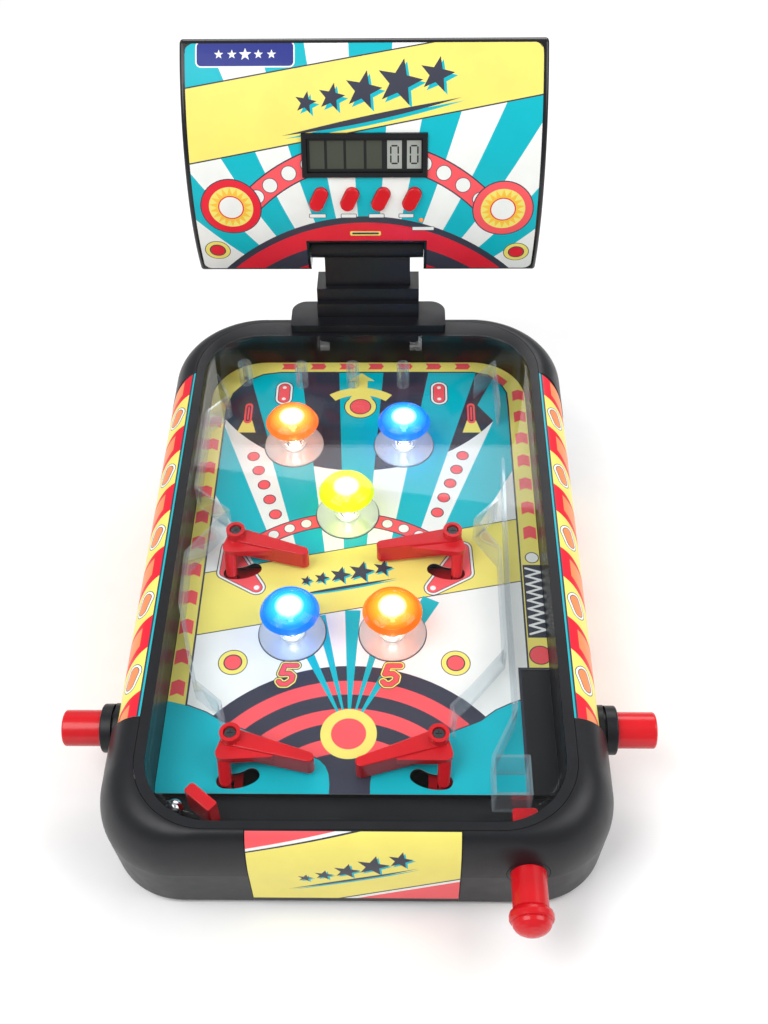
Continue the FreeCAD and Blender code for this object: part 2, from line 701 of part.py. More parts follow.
def make_right_guide():
    """The clear wall on the left of the ball lane, with its two deflectors."""
    return guide([(95.0, 256), (78.8, 238), (95.0, 212), (94.5, 128), (72.0, 100), (58.5, 86), (60.5, 76)])


def make_lane_divider():
    wall = guide([(101.5, 296), (99.0, 180), (99.0, 84), (83.0, 50.5), (104.5, 50.5), (104.5, 25.5), (83.0, 25.5),
                  (83.0, 50.5)])
    return wall


def make_rear_right_guide():
    return guide([(84.5, 383), (100.0, 401), (101.5, 352)])


def make_lane_posts():
    posts = []
    top = FIELD_W + GUIDE_HEIGHT
    for beside in LANE_POSTS:
        u = FIELD_LINE + beside
        posts.append(tube(LANE_POST_RADIUS, LANE_POST_BORE, (u, LANE_POST_V, FIELD_W + 0.1), (u, LANE_POST_V, top)))
    posts.append(tube(5.5, 2.0, (*CORNER_BOSS, FIELD_W + 0.1), (*CORNER_BOSS, top - 2)))
    return Part.makeCompound(posts)


def make_bumper_discs():
    discs = []
    for _, beside, v in BUMPERS:
        u, v = bumper_at(beside, v)
        disc = rod(DISC_RADIUS, (u, v, FIELD_W + 0.1), (u, v, FIELD_W + 0.1 + DISC_THICK))
        collar = rod(DISC_BORE + 2.2, (u, v, FIELD_W + 0.1), (u, v, FIELD_W + 3.6))
        bore = rod(DISC_BORE, (u, v, FIELD_W - 1), (u, v, 0))
        discs.append(disc.fuse(collar).cut(bore))
    return Part.makeCompound(discs)


def make_bumper_springs():
    springs = []
    for _, beside, v in BUMPERS:
        u, v = bumper_at(beside, v)
        start = 0.8
        spring = coil(SPRING_RADIUS, SPRING_WIRE, SPRING_TOP - start - SPRING_WIRE / 2, SPRING_TURNS)
        springs.append(moved(spring, Placement(Vector(u, v, FIELD_W + start), Rotation())))
    return Part.makeCompound(springs)


def make_bumper_lamps():
    lamps = []
    for _, beside, v in BUMPERS:
        u, v = bumper_at(beside, v)
        profile = [(0, -5.0), (LAMP_STEM, -5.0), (LAMP_STEM, 20.0), (LAMP_RADIUS + 0.4, 20.0),
                   (LAMP_RADIUS + 0.4, 21.0), (LAMP_RADIUS, 21.0), (LAMP_RADIUS, 24.0), (1.8, 25.7), (0, 26.4)]
        lamps.append(moved(revolved(profile), Placement(Vector(u, v, FIELD_W), Rotation())))
    return Part.makeCompound(lamps)


def make_cap(beside, v):
    """A ribbed clear lens: a hollow dome on a socket that sits over the top of its spring."""
    u, v = bumper_at(beside, v)
    socket = SPRING_RADIUS + SPRING_WIRE / 2 + 0.7
    outer = [(socket + CAP_WALL, CAP_SOCKET_HEIGHT), (socket + CAP_WALL, 20.0), (13.0, 21.4),
             (CAP_RADIUS - 0.7, CAP_RIM_HEIGHT - 1.2), (CAP_RADIUS, CAP_RIM_HEIGHT)]
    crown = []
    for step in range(1, 7):
        radius = CAP_RADIUS * (1 - step / 7)
        height = CAP_RIM_HEIGHT + (CAP_TOP_HEIGHT - CAP_RIM_HEIGHT) * math.sqrt(1 - (radius / CAP_RADIUS) ** 2)
        crown.append((radius + 0.5, height))
        crown.append((radius, height - 0.45))
    inside = [(0, CAP_TOP_HEIGHT), (0, CAP_TOP_HEIGHT - CAP_WALL - 0.6), (8.0, CAP_TOP_HEIGHT - CAP_WALL - 1.6),
              (14.0, CAP_RIM_HEIGHT + 2.2), (CAP_RADIUS - 2.4, CAP_RIM_HEIGHT), (12.4, 22.9), (socket, 21.4),
              (socket, CAP_SOCKET_HEIGHT)]
    return moved(revolved(outer + crown + inside), Placement(Vector(u, v, FIELD_W), Rotation()))


def make_flipper(side, beside, v, rest):
    """A bell crank: boss, tapered arm, and a leg whose pin reaches the drive bar under the board."""
    tip = polar(ARM_LENGTH - ARM_TIP_RADIUS, -rest)
    mid = polar(0.5 * ARM_LENGTH, -rest - 7)
    foot = polar(CRANK_RADIUS, CRANK_ANGLE)
    root = (foot[0] * 1.3, foot[1] * 0.5)
    arm = capsule_plate([(0, 0, BOSS_RADIUS - 0.3), (*tip, ARM_TIP_RADIUS)], ARM_LOW, ARM_TOP)
    rounding = [edge for edge in arm.Edges if edge.BoundBox.ZMin > ARM_TOP - 0.1]
    arm = arm.makeFillet(0.8, rounding)
    web = capsule_plate([(0, 0, BOSS_RADIUS - 0.8), (*root, 4.8), (*mid, 3.2)], ARM_TOP - 6.5, ARM_TOP - 1.3)
    boss = rod(BOSS_RADIUS, (0, 0, ARM_LOW), (0, 0, BOSS_TOP))
    top = Part.Wire(Part.makeCircle(4.2, Vector(*root, ARM_TOP - 3.5)))
    low = Part.Wire(Part.makeCircle(CRANK_FOOT, Vector(*foot, 0.6)))
    leg = Part.makeLoft([top, low], True)
    pin = rod(CRANK_PIN, (*foot, BAR_TOP - BAR_THICK - FIELD_W - 0.5), (*foot, 1.6))
    shape = fused([arm, web, boss, leg, pin])
    shape = shape.cut(rod(PIVOT_RADIUS + RUNNING, (0, 0, 0), (0, 0, 40)))
    shape = shape.cut(rod(4.2, (0, 0, PIVOT_TOP), (0, 0, 40)))
    if side > 0:
        shape = mirror_x(shape)
    u, v = flipper_pivot(side, beside, v)
    return moved(shape, Placement(Vector(u, v, FIELD_W), Rotation()))


def make_flipper_screws():
    screws = []
    for _, side, beside, v, _ in FLIPPERS:
        u, v = flipper_pivot(side, beside, v)
        z = FIELD_W + PIVOT_TOP
        body = rod(3.4, (u, v, z + 0.2), (u, v, z + 2.2)).fuse(rod(1.2, (u, v, z - 8), (u, v, z + 0.2)))
        for turn in (0, 90):
            slot = block(-2.0, 2.0, -0.35, 0.35, z + 1.4, z + 3)
            body = body.cut(moved(slot, Placement(Vector(u, v, 0), Rotation(Vector(0, 0, 1), turn))))
        screws.append(body)
    return Part.makeCompound(screws)


# ---------------------------------------------------------------- controls
def button_travel():
    """How far a button slides to swing its flippers through their sweep."""
    return polar(CRANK_RADIUS, CRANK_ANGLE + FLIPPER_SWEEP)[0] - polar(CRANK_RADIUS, CRANK_ANGLE)[0]


def make_button():
    axis = (BUTTON_V, BUTTON_W)
    body = rod(BUTTON_RADIUS, (BUTTON_INNER, *axis), (BUTTON_REACH, *axis))
    end = [edge for edge in body.Edges if edge.BoundBox.XMin > BUTTON_REACH - 0.1]
    body = body.makeFillet(1.6, end)
    return body.cut(rod(BUTTON_RADIUS - 2.2, (BUTTON_INNER - 1, *axis), (BUTTON_REACH - 2.5, *axis)))


def make_button_collars():
    axis = (BUTTON_V, BUTTON_W)
    seat = BEZEL_HALF + FRONT_BULGE + GAP
    flange = rod(COLLAR_RADIUS, (seat, *axis), (COLLAR_REACH, *axis))
    rim = [edge for edge in flange.Edges if edge.BoundBox.XMin > COLLAR_REACH - 0.1]
    flange = flange.makeFillet(1.2, rim)
    neck = rod(COLLAR_RADIUS - 2.0 - GAP, (seat - 9, *axis), (seat + 0.1, *axis))
    bore = rod(BUTTON_RADIUS + RUNNING, (100, *axis), (200, *axis))
    collar = flange.fuse(neck).cut(bore)
    return Part.makeCompound([collar, mirror_x(collar)])


def make_drive_bar(side):
    """The flat bar that carries a button's push to the cranks of its two flippers."""
    low = BAR_TOP - BAR_THICK
    travel = button_travel()
    pins = []
    for _, flipper_side, beside, v, _ in FLIPPERS:
        if flipper_side != side:
            continue
        u, v = flipper_pivot(flipper_side, beside, v)
        dx, dy = polar(CRANK_RADIUS, CRANK_ANGLE)
        pins.append((u * side - dx, v + dy, v))
    inner = min(u for u, _, _ in pins) - BAR_HALF + 4
    outer = max(u for u, _, _ in pins) + BAR_HALF
    bar = block(inner, outer, min(v for _, v, _ in pins) - 9, max(v for _, v, _ in pins) + 14, low, BAR_TOP)
    arm = block(outer - 5, BUTTON_INNER - GAP, BUTTON_V - 6.5, BUTTON_V + 6.5, low, BAR_TOP)
    tab = block(BUTTON_INNER - GAP - 3.0, BUTTON_INNER - GAP, BUTTON_V - 6.5, BUTTON_V + 6.5, low, BUTTON_W + 6)
    lug = block(BUTTON_INNER - 11.0, BUTTON_INNER - 8.0, BUTTON_V - 4.5, BUTTON_V + 4.5, low - 8.5, low + 0.1)
    bar = fused([bar, arm, tab, lug])
    for u, v, pivot_v in pins:
        near = pivot_v - CRANK_RADIUS - CRANK_PIN - BAR_PLAY
        far = pivot_v + polar(CRANK_RADIUS, CRANK_ANGLE + FLIPPER_SWEEP)[1] + CRANK_PIN + BAR_PLAY
        reach = CRANK_PIN + BAR_PLAY
        bar = bar.cut(block(u - reach, u + reach, near, far, -DEEP, 0))
    for v in PEG_AT:
        u = peg_u(side) * side
        half = PEG_RADIUS + GAP
        bar = bar.cut(capsule_plate([(u, v, half), (u + travel, v, half)], -DEEP, 0))
    return bar if side > 0 else mirror_x(bar)


def return_spring_span(side):
    """World points of the fixed and the moving end of a return spring."""
    low = BAR_TOP - BAR_THICK - 4.5
    on_bar = DECK.multVec(Vector(0, BUTTON_V, low))
    fixed = Vector(side * (RETURN_POST + 1.5 + 0.2), on_bar.y, on_bar.z)
    loose = Vector(side * (BUTTON_INNER - 11.0 - 0.2), on_bar.y, on_bar.z)
    return fixed, loose


def make_return_spring(side):
    fixed, loose = return_spring_span(side)
    length = abs(loose.x - fixed.x) - RETURN_WIRE
    spring = coil(RETURN_RADIUS, RETURN_WIRE, length, 13)
    start = min(fixed.x, loose.x) + RETURN_WIRE / 2
    return moved(spring, Placement(Vector(start, fixed.y, fixed.z), Rotation(Vector(0, 1, 0), 90)))


def make_plunger():
    """Knob, sleeve and a flat tongue that strikes the ball, with a lug for its spring."""
    dome = []
    for step in range(7):
        ahead, out = polar(1.0, 15.0 * step)
        dome.append((DOME_RADIUS * out, KNOB_END + DOME_LENGTH * (1 - ahead)))
    ring = KNOB_END + DOME_LENGTH
    profile = dome + [(DOME_RADIUS, ring + 0.6), (KNOB_RADIUS - 0.5, ring + 0.9), (KNOB_RADIUS, ring + 1.8),
                      (KNOB_RADIUS, KNOB_START - 3.0), (KNOB_RADIUS - 0.7, KNOB_START - 1.2),
                      (PLUNGER_RADIUS + 0.6, KNOB_START), (PLUNGER_RADIUS, KNOB_START + 0.8),
                      (PLUNGER_RADIUS, SLEEVE_END), (0, SLEEVE_END)]
    body = moved(revolved(profile), Placement(Vector(PLUNGER_U, 0, PLUNGER_W), Rotation(Vector(1, 0, 0), -90)))
    half = TONGUE_HEIGHT / 2
    tongue = block(PLUNGER_U - TONGUE_HALF, PLUNGER_U + TONGUE_HALF, SLEEVE_END - 2, TONGUE_END,
                   PLUNGER_W - half, PLUNGER_W + half)
    upright = [edge for edge in tongue.Edges if edge.BoundBox.ZLength > 1 and edge.BoundBox.YMin > SLEEVE_END]
    tongue = tongue.makeFillet(2.0, upright)
    lug = block(PLUNGER_U - 2.0, PLUNGER_U + 2.0, LUG_V - 2.0, LUG_V + 1.9, TROUGH_W - 10.0, PLUNGER_W)
    return fused([body, tongue, lug])


def plunger_spring_span():
    """v of the moving and the fixed end of the plunger's spring, and its w."""
    return LUG_V + 2.0 + 0.3, SPRING_POST_V, TROUGH_W - 7.2


def make_plunger_spring():
    start, end, w = plunger_spring_span()
    length = end - start - RETURN_WIRE
    spring = coil(2.6, RETURN_WIRE, length, 15)
    return moved(spring, Placement(Vector(PLUNGER_U, start + RETURN_WIRE / 2, w), Rotation(Vector(1, 0, 0), -90)))


def make_plunger_guide():
    """A flanged bush through the front wall that the plunger slides in."""
    outer = PLUNGER_RADIUS + GUIDE_WALL
    front = -BEZEL_FRONT - FRONT_REACH - 3.0

    def across(radius, v0, v1):
        return rod(radius, (PLUNGER_U, v0, PLUNGER_W), (PLUNGER_U, v1, PLUNGER_W))

    body = across(outer, front, -GAP).fuse(across(outer + 2.4, -5.2, -THIN_WALL - GAP))
    slot = block(PLUNGER_U - LUG_SLOT, PLUNGER_U + LUG_SLOT, LUG_V - PLUNGER_PULL - 3.0, 1, -DEEP, PLUNGER_W)
    return body.common(envelope("front", 0)).cut(across(PLUNGER_RADIUS + RUNNING, front - 1, 5)).cut(slot)


def make_ball_gate():
    u, v = GATE_AT
    low = TROUGH_W + 0.4
    top = TROUGH_W + GATE_HEIGHT
    reach = math.hypot(*GATE_TIP) + 3.5
    gate = plate(GATE_HALF, -reach, 2.6, 1.3, 2.4, low, top)
    edges = [edge for edge in gate.Edges if edge.BoundBox.ZMin > top - 0.1]
    gate = gate.makeFillet(0.8, edges).cut(rod(GATE_PIN + RUNNING, (0, 0, low - 1), (0, 0, top - 2.5)))
    turn = math.degrees(math.atan2(GATE_TIP[0], -GATE_TIP[1]))
    return moved(gate, Placement(Vector(u, v, 0), Rotation(Vector(0, 0, 1), turn)))


def make_ball():
    return Part.makeSphere(BALL_DIAMETER / 2, Vector(*BALL_AT, TROUGH_W + BALL_DIAMETER / 2 + 0.05))


# ---------------------------------------------------------------- head
def head_point(radius, angle):
    """(y, z) of a point on a circle about the head's centre; angle 0 faces the player."""
    return (HEAD_CENTRE[0] - radius * math.cos(math.radians(angle)),
            HEAD_CENTRE[1] + radius * math.sin(math.radians(angle)))


def head_facing(x, angle, depth=0.0):
    """A placement on the head's front, with its z axis standing out of the face and y up the face."""
    y, z = head_point(HEAD_RADIUS - depth, angle)
    return Placement(Vector(x, y, z), Rotation(Vector(1, 0, 0), 90 - angle))


def head_form(inset):
    """The head's closed outer form, drawn in by inset."""
    radius = HEAD_RADIUS - inset
    trim = math.degrees(inset / HEAD_RADIUS)
    angles = (HEAD_LOW + trim, (HEAD_LOW + HEAD_HIGH) / 2, HEAD_HIGH - trim)
    front = [Vector(0, *head_point(radius, angle)) for angle in angles]
    signs = (1, 0, -1)
    back = [Vector(0, y - inset, z + sign * inset) for (y, z), sign in zip(HEAD_BACK, signs)]
    wire = Part.Wire([
        Part.Arc(*front).toShape(),
        Part.makeLine(front[2], back[2]),
        Part.Arc(back[2], back[1], back[0]).toShape(),
        Part.makeLine(back[0], front[0]),
    ])
    half = HEAD_HALF - inset
    wire.translate(Vector(-half, 0, 0))
    return Part.Face(wire).extrude(Vector(2 * half, 0, 0))


def head_notch(grow):
    low = 60.0
    return block(-NOTCH_HALF - grow, NOTCH_HALF + grow, 380, 520, low, NOTCH_TOP + grow)


def head_split(radius):
    return rod(radius, (-200, *HEAD_CENTRE), (200, *HEAD_CENTRE))


def label_window():
    """The printed area of the head's front: a rounded rectangle wrapped on the curved face."""
    trim = math.degrees(LABEL_MARGIN / HEAD_RADIUS)
    half = HEAD_HALF - LABEL_MARGIN
    low = head_point(HEAD_RADIUS, HEAD_LOW + trim)[1]
    high = head_point(HEAD_RADIUS, HEAD_HIGH - trim)[1]
    outline = plate(half, low, high, 6.0, 6.0, 0, 300)
    return moved(outline, Placement(Vector(0, 600, 0), Rotation(Vector(1, 0, 0), 90)))


def key_positions():
    return [KEY_SPACING * (index - 1.5) for index in range(4)]


def key_prism(grow, z0, z1):
    """A slanted oval in the plane of the head's face."""
    straight = (KEY_LENGTH - KEY_WIDTH) / 2
    dx, dy = polar(straight, 90 - KEY_SLANT)
    radius = KEY_WIDTH / 2 + grow
    return capsule_plate([(-dx, -dy, radius), (dx, dy, radius)], z0, z1)


def head_cutters():
    cutters = [moved(block(-DISPLAY_WIDTH / 2 - GAP, DISPLAY_WIDTH / 2 + GAP, -DISPLAY_HEIGHT / 2 - GAP,
                           DISPLAY_HEIGHT / 2 + GAP, -8, 20), head_facing(0, DISPLAY_ANGLE))]
    for x in key_positions():
        cutters.append(moved(key_prism(GAP, -12, 20), head_facing(x, KEY_ANGLE)))
    cutters.append(moved(rod(1.8, (0, 0, -10), (0, 0, 20)), head_facing(41.0, -4.9)))
    return cutters


def make_head():
    form = head_form(0)
    long_edges = [edge for edge in form.Edges if edge.BoundBox.XLength > HEAD_HALF]
    form = form.makeFillet(HEAD_ROUND, long_edges)
    ends = [edge for edge in form.Edges if edge.BoundBox.XLength < 0.01]
    form = form.makeFillet(2.5, ends)
    hollow = head_form(WALL).cut(head_notch(WALL + 1.6))
    shell = form.cut(hollow).cut(head_notch(0))
    for side in (-1, 1):
        ear = rod(HINGE_PIN + RUNNING, (side * (NOTCH_HALF - 1), *HINGE_AT), (side * (NOTCH_HALF + 8), *HINGE_AT))
        shell = shell.cut(ear)
    split = HEAD_RADIUS - HEAD_SPLIT
    front = shell.cut(head_split(split))
    rear = shell.common(head_split(split - GAP))
    skin = form.common(head_split(HEAD_RADIUS + 1)).cut(head_split(HEAD_RADIUS - LABEL_THICK))
    label = skin.common(label_window()).cut(head_notch(LABEL_MARGIN / 2))
    front = front.cut(label)
    for cutter in head_cutters():
        front = front.cut(cutter)
        label = label.cut(cutter)
    for x, z in HEAD_SCREWS:
        back = head_back_y(z)
        rear = rear.fuse(rod(SCREW_BOSS, (x, back - 9.0, z), (x, back + 6.0, z)).common(form))
        rear = rear.cut(rod(3.6, (x, back - SCREW_SINK, z), (x, back + 10.0, z)))
        rear = rear.cut(rod(1.7, (x, back - 12.0, z), (x, back, z)))
        post = rod(4.0, (x, 400.0, z), (x, back - 9.0 - GAP, z))
        front = front.fuse(post.common(head_split(HEAD_RADIUS - WALL / 2)))
        front = front.cut(rod(1.6, (x, back - 18.0, z), (x, back, z)))
    return front, rear, label


def make_head_screws():
    screws = []
    for x, z in HEAD_SCREWS:
        back = head_back_y(z)
        shape = screw(0, 0, 0, 3.2, 1.5, 14)
        screws.append(moved(shape, Placement(Vector(x, back - SCREW_SINK + 1.8, z), Rotation(Vector(1, 0, 0), 90))))
    return Part.makeCompound(screws)


def head_back_y(z):
    """y of the head's back face at a height."""
    arc = Part.Arc(*[Vector(0, *point) for point in HEAD_BACK]).toShape()
    line = Part.makeLine(Vector(0, 300, z), Vector(0, 700, z))
    return arc.distToShape(line)[1][0][0].y


def make_display():
    half_w = DISPLAY_WIDTH / 2
    half_h = DISPLAY_HEIGHT / 2
    frame = block(-half_w, half_w, -half_h, half_h, -4.0, 1.6)
    opening = block(-half_w + DISPLAY_FRAME, half_w - DISPLAY_FRAME, -half_h + DISPLAY_FRAME, half_h - DISPLAY_FRAME,
                    -10, 10)
    frame = frame.cut(opening)
    edges = [edge for edge in frame.Edges if edge.BoundBox.ZMin > 1.5 and abs(edge.BoundBox.XMin) > half_w - 1
             or edge.BoundBox.ZMin > 1.5 and abs(edge.BoundBox.YMin) > half_h - 0.1]
    frame = frame.makeChamfer(0.5, edges)
    inset = DISPLAY_FRAME + 0.2
    module = block(-half_w + inset, half_w - inset, -half_h + inset, half_h - inset, -7.5, -1.2)
    place = head_facing(0, DISPLAY_ANGLE)
    return moved(frame, place), moved(module, place)


def make_key(x):
    cap = key_prism(0, -3.0, KEY_PROUD)
    top = [edge for edge in cap.Edges if edge.BoundBox.ZMin > KEY_PROUD - 0.1]
    cap = cap.makeFillet(1.2, top)
    stem = rod(2.5, (0, 0, -6.0), (0, 0, -2.5))
    return moved(cap.fuse(stem), head_facing(x, KEY_ANGLE))


def make_head_board():
    """The circuit board behind the keys and the display, with its keypad switches and chip."""
    board = block(-60, 60, -20, 24, -11.2, -9.6)
    parts = [board, block(-9, 9, 6, 18, -9.7, -8.2)]
    for x in key_positions():
        parts.append(rod(3.0, (x, 0, -9.7), (x, 0, -7.9)))
    parts.append(rod(1.5, (41.0, -15.0, -9.7), (41.0, -15.0, -2.5)))
    return moved(fused(parts), head_facing(0, KEY_ANGLE + 1.0, 1.5))


def make_neck():
    barrel = rod(BARREL_RADIUS, (-BARREL_HALF, *HINGE_AT), (BARREL_HALF, *HINGE_AT))
    pins = rod(HINGE_PIN, (-BARREL_HALF - PIN_REACH, *HINGE_AT), (BARREL_HALF + PIN_REACH, *HINGE_AT))
    y = HINGE_AT[0]
    neck = block(-NECK_HALF, NECK_HALF, y - NECK_THICK / 2, y + NECK_THICK / 2, 52, HINGE_AT[1])
    return fused([barrel, pins, neck])


def make_bracket():
    y = HINGE_AT[0]
    socket = side_prism([(y - 15.5, 30), (y + 14.0, 30), (y + 14.0, 76), (y - 11, 76), (y - 11, 65), (y - 15.5, 65)],
                        -BRACKET_HALF, BRACKET_HALF)
    hole = block(-NECK_HALF - GAP, NECK_HALF + GAP, y - NECK_THICK / 2 - GAP, y + NECK_THICK / 2 + GAP, 51.7, 100)
    socket = moved(socket, SIDE)
    flange = on_deck(plate(FLANGE_HALF, *FLANGE_V, 2.0, 12.0, -12, FLANGE_HEIGHT))
    return fused([socket, flange]).cut(moved(hole, SIDE)).cut(on_deck(envelope("rear", -0.3)))


# ---------------------------------------------------------------- assembly
def build():
    nodes = {}
    nodes["base_tray"] = make_base_tray()
    nodes["battery_door"] = make_battery_door()
    nodes["battery_contacts"] = make_battery_contacts()
    nodes["rubber_feet"] = make_feet()
    nodes["housing_screws"] = make_housing_screws()
    nodes["speaker"] = make_speaker()
    nodes["upper_housing"] = make_upper_housing()
    nodes["right_side_panel"] = make_side_panel()
    nodes["left_side_panel"] = mirror_x(nodes["right_side_panel"])
    skin = make_front_skin()
    shell = make_front_shell(skin)
    bush = rod(PLUNGER_RADIUS + GUIDE_WALL + GAP, (PLUNGER_U, -60, PLUNGER_W), (PLUNGER_U, 0, PLUNGER_W))
    nodes["right_front_shell"] = above_floor(on_deck(shell.cut(bush)), FLOOR_CLEAR + 0.4)
    nodes["left_front_shell"] = above_floor(on_deck(mirror_x(shell)), FLOOR_CLEAR + 0.4)
    panel = skin.common(block(-PANEL_FRONT_HALF, PANEL_FRONT_HALF, -80, 20, -DEEP, 20))
    nodes["front_panel"] = above_floor(on_deck(panel), FLOOR_CLEAR + 0.4)
    nodes["rear_cap"] = make_rear_cap()
    nodes["clear_cover"] = on_deck(make_cover())
    nodes["playfield_tray"] = on_deck(make_playfield_tray())
    nodes["board_pins"] = on_deck(make_board_pins())
    nodes["playfield_overlay"] = on_deck(make_overlay())
    nodes["left_guide_wall"] = on_deck(make_left_guide())
    nodes["right_guide_wall"] = on_deck(make_right_guide())
    nodes["lane_divider"] = on_deck(make_lane_divider())
    nodes["rear_right_guide"] = on_deck(make_rear_right_guide())
    nodes["lane_posts"] = on_deck(make_lane_posts())
    nodes["bumper_discs"] = on_deck(make_bumper_discs())
    nodes["bumper_springs"] = on_deck(make_bumper_springs())
    nodes["bumper_lamps"] = on_deck(make_bumper_lamps())
    nodes["flipper_screws"] = on_deck(make_flipper_screws())
    nodes["button_collars"] = on_deck(make_button_collars())
    nodes["plunger_guide"] = on_deck(make_plunger_guide())
    nodes["steel_ball"] = on_deck(make_ball())
    nodes["neck_post"] = moved(make_neck(), SIDE)
    nodes["head_bracket"] = make_bracket()
    for name, beside, v in BUMPERS:
        nodes["bumper_cap_" + name] = on_deck(make_cap(beside, v))
    for name, side, beside, v, rest in FLIPPERS:
        nodes[name] = on_deck(make_flipper(side, beside, v, rest))
    for name, side in (("left", -1), ("right", 1)):
        button = make_button()
        nodes[name + "_button"] = on_deck(button if side > 0 else mirror_x(button))
        nodes[name + "_drive_bar"] = on_deck(make_drive_bar(side))
        nodes[name + "_return_spring"] = make_return_spring(side)
    nodes["plunger"] = on_deck(make_plunger())
    nodes["plunger_spring"] = on_deck(make_plunger_spring())
    nodes["ball_gate"] = on_deck(make_ball_gate())
    front, rear, label = make_head()
    frame, module = make_display()
    nodes["head_front_shell"] = moved(front, SIDE)
    nodes["head_rear_shell"] = moved(rear, SIDE)
    nodes["head_label"] = moved(label, SIDE)
    nodes["display_frame"] = moved(frame, SIDE)
    nodes["display_module"] = moved(module, SIDE)
    nodes["head_board"] = moved(make_head_board(), SIDE)
    nodes["head_screws"] = moved(make_head_screws(), SIDE)
    for index, x in enumerate(key_positions()):
        nodes[f"menu_button_{index + 1}"] = moved(make_key(x), SIDE)
    return nodes


def footprint_shift(nodes):
    """The move that puts the origin at the middle of the machine's footprint."""
    box = FreeCAD.BoundBox()
    for name in ("plunger", "head_rear_shell", "head_front_shell", "left_button", "right_button", "rubber_feet"):
        box.add(nodes[name].optimalBoundingBox(False, False))
    return Vector(-box.Center.x, -box.Center.y, -box.ZMin)


NODES = build()
SHIFT = footprint_shift(NODES)
os.makedirs("parts", exist_ok=True)
for node_name, node_shape in NODES.items():
    node_shape.translate(SHIFT)
    node_shape.exportStep(os.path.join("parts", node_name + ".step"))
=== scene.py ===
import json
import math

import bpy
import numpy as np
from mathutils import Matrix, Vector
from mathutils.geometry import delaunay_2d_cdt

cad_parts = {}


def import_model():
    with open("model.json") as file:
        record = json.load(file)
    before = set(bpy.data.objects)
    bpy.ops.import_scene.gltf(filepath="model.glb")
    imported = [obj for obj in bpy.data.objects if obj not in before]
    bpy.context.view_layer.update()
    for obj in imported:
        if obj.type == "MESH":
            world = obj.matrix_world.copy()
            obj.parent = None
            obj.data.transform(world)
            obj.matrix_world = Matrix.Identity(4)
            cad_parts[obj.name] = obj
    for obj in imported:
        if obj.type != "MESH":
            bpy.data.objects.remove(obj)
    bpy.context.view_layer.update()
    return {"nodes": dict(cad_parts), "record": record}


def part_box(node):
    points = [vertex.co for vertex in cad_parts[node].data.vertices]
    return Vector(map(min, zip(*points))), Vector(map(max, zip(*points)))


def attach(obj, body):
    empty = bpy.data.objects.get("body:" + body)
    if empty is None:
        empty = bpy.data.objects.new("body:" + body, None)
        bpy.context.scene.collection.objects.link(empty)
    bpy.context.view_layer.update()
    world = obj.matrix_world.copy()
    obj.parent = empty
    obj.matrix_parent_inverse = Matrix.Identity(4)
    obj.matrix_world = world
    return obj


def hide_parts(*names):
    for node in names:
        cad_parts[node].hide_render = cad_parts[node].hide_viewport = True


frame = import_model()
RECORD = frame["record"]

# ---------------------------------------------------------------- where things are, in millimetres
SLOPE = math.radians(6.0)           # of the deck
DECK_HEIGHT = 80.0                  # of the deck's front edge over the floor
BEZEL_HALF = 131.5                  # half width of the flat strip round the window
FRONT_EDGE = -5.0                   # v of the strip's front edge
SIDE_SHOULDER = (18.5, 24.0)        # how far a flank stands out, and over what height it does so
FRONT_SHOULDER = (12.5, 36.0)       # the same for the front
WINDOW_HALF = 125.0
WINDOW_CORNER = 42.0
WELL_BACK = 424.0                   # v of the well's rear wall
FIELD_W = -37.0                     # the playfield under the deck
HEAD_RADIUS = 145.5                 # of the head's curved front
HEAD_CENTRE = (566.0, 153.4)        # y, and z over the deck's front edge, of its axis
HEAD_ANGLES = (-26.6, 46.6)         # of the head's lower and upper edge, from level
NOTCH_HALF = 45.5                   # of the notch for the neck
NOTCH_TOP = 122.0
DISPLAY_ANGLE = 14.8
MENU_ANGLE = 2.1
MENU_PITCH = 22.7
MENU_TILT = math.radians(25)
LAMP_X = 41.0
LAMP_ANGLE = -4.9
CAP_REACH = 0.020                   # metres from a bumper cap's axis to its rim
HINGE_Y = 440.0                     # of the head, before the model is centred
JOINTS = {joint["name"]: joint for joint in RECORD["behaviour"]["joints"]}
SHIFT_Y = JOINTS["head_tilt"]["pos_m"][1] * 1000 - HINGE_Y


def deck(u, v, w):
    """Deck millimetres (right, back along the slope, out of the deck) to scene metres."""
    y = v * math.cos(SLOPE) - w * math.sin(SLOPE)
    z = v * math.sin(SLOPE) + w * math.cos(SLOPE)
    return Vector((u, y + SHIFT_Y, z + DECK_HEIGHT)) / 1000


def up_head(angle):
    """How far up the head's curve an angle in degrees is."""
    return HEAD_RADIUS * math.radians(angle)


def head_face(x, up, depth):
    """A point on the head's curved front: x across, up along the curve, depth into the head."""
    turn = up / HEAD_RADIUS
    reach = HEAD_RADIUS - depth
    y = HEAD_CENTRE[0] - reach * math.cos(turn)
    z = HEAD_CENTRE[1] + reach * math.sin(turn)
    return Vector((x, y + SHIFT_Y, z + DECK_HEIGHT)) / 1000


def shoulder(bulge, drop, down_curve):
    """(outward, down, normal) of the housing's rounded shoulder, at a length down its curve."""
    steps = 90
    length = 0.0
    out, low = 0.0, 0.0
    for step in range(1, steps + 1):
        turn = math.radians(90.0 * step / steps)
        next_out, next_low = bulge * math.sin(turn), drop * (1 - math.cos(turn))
        piece = math.hypot(next_out - out, next_low - low)
        if length + piece >= down_curve:
            share = (down_curve - length) / piece
            place = (out + share * (next_out - out), low + share * (next_low - low))
            return place, ((next_low - low) / piece, (next_out - out) / piece)
        length += piece
        out, low = next_out, next_low
    return (bulge, drop + down_curve - length), (1.0, 0.0)


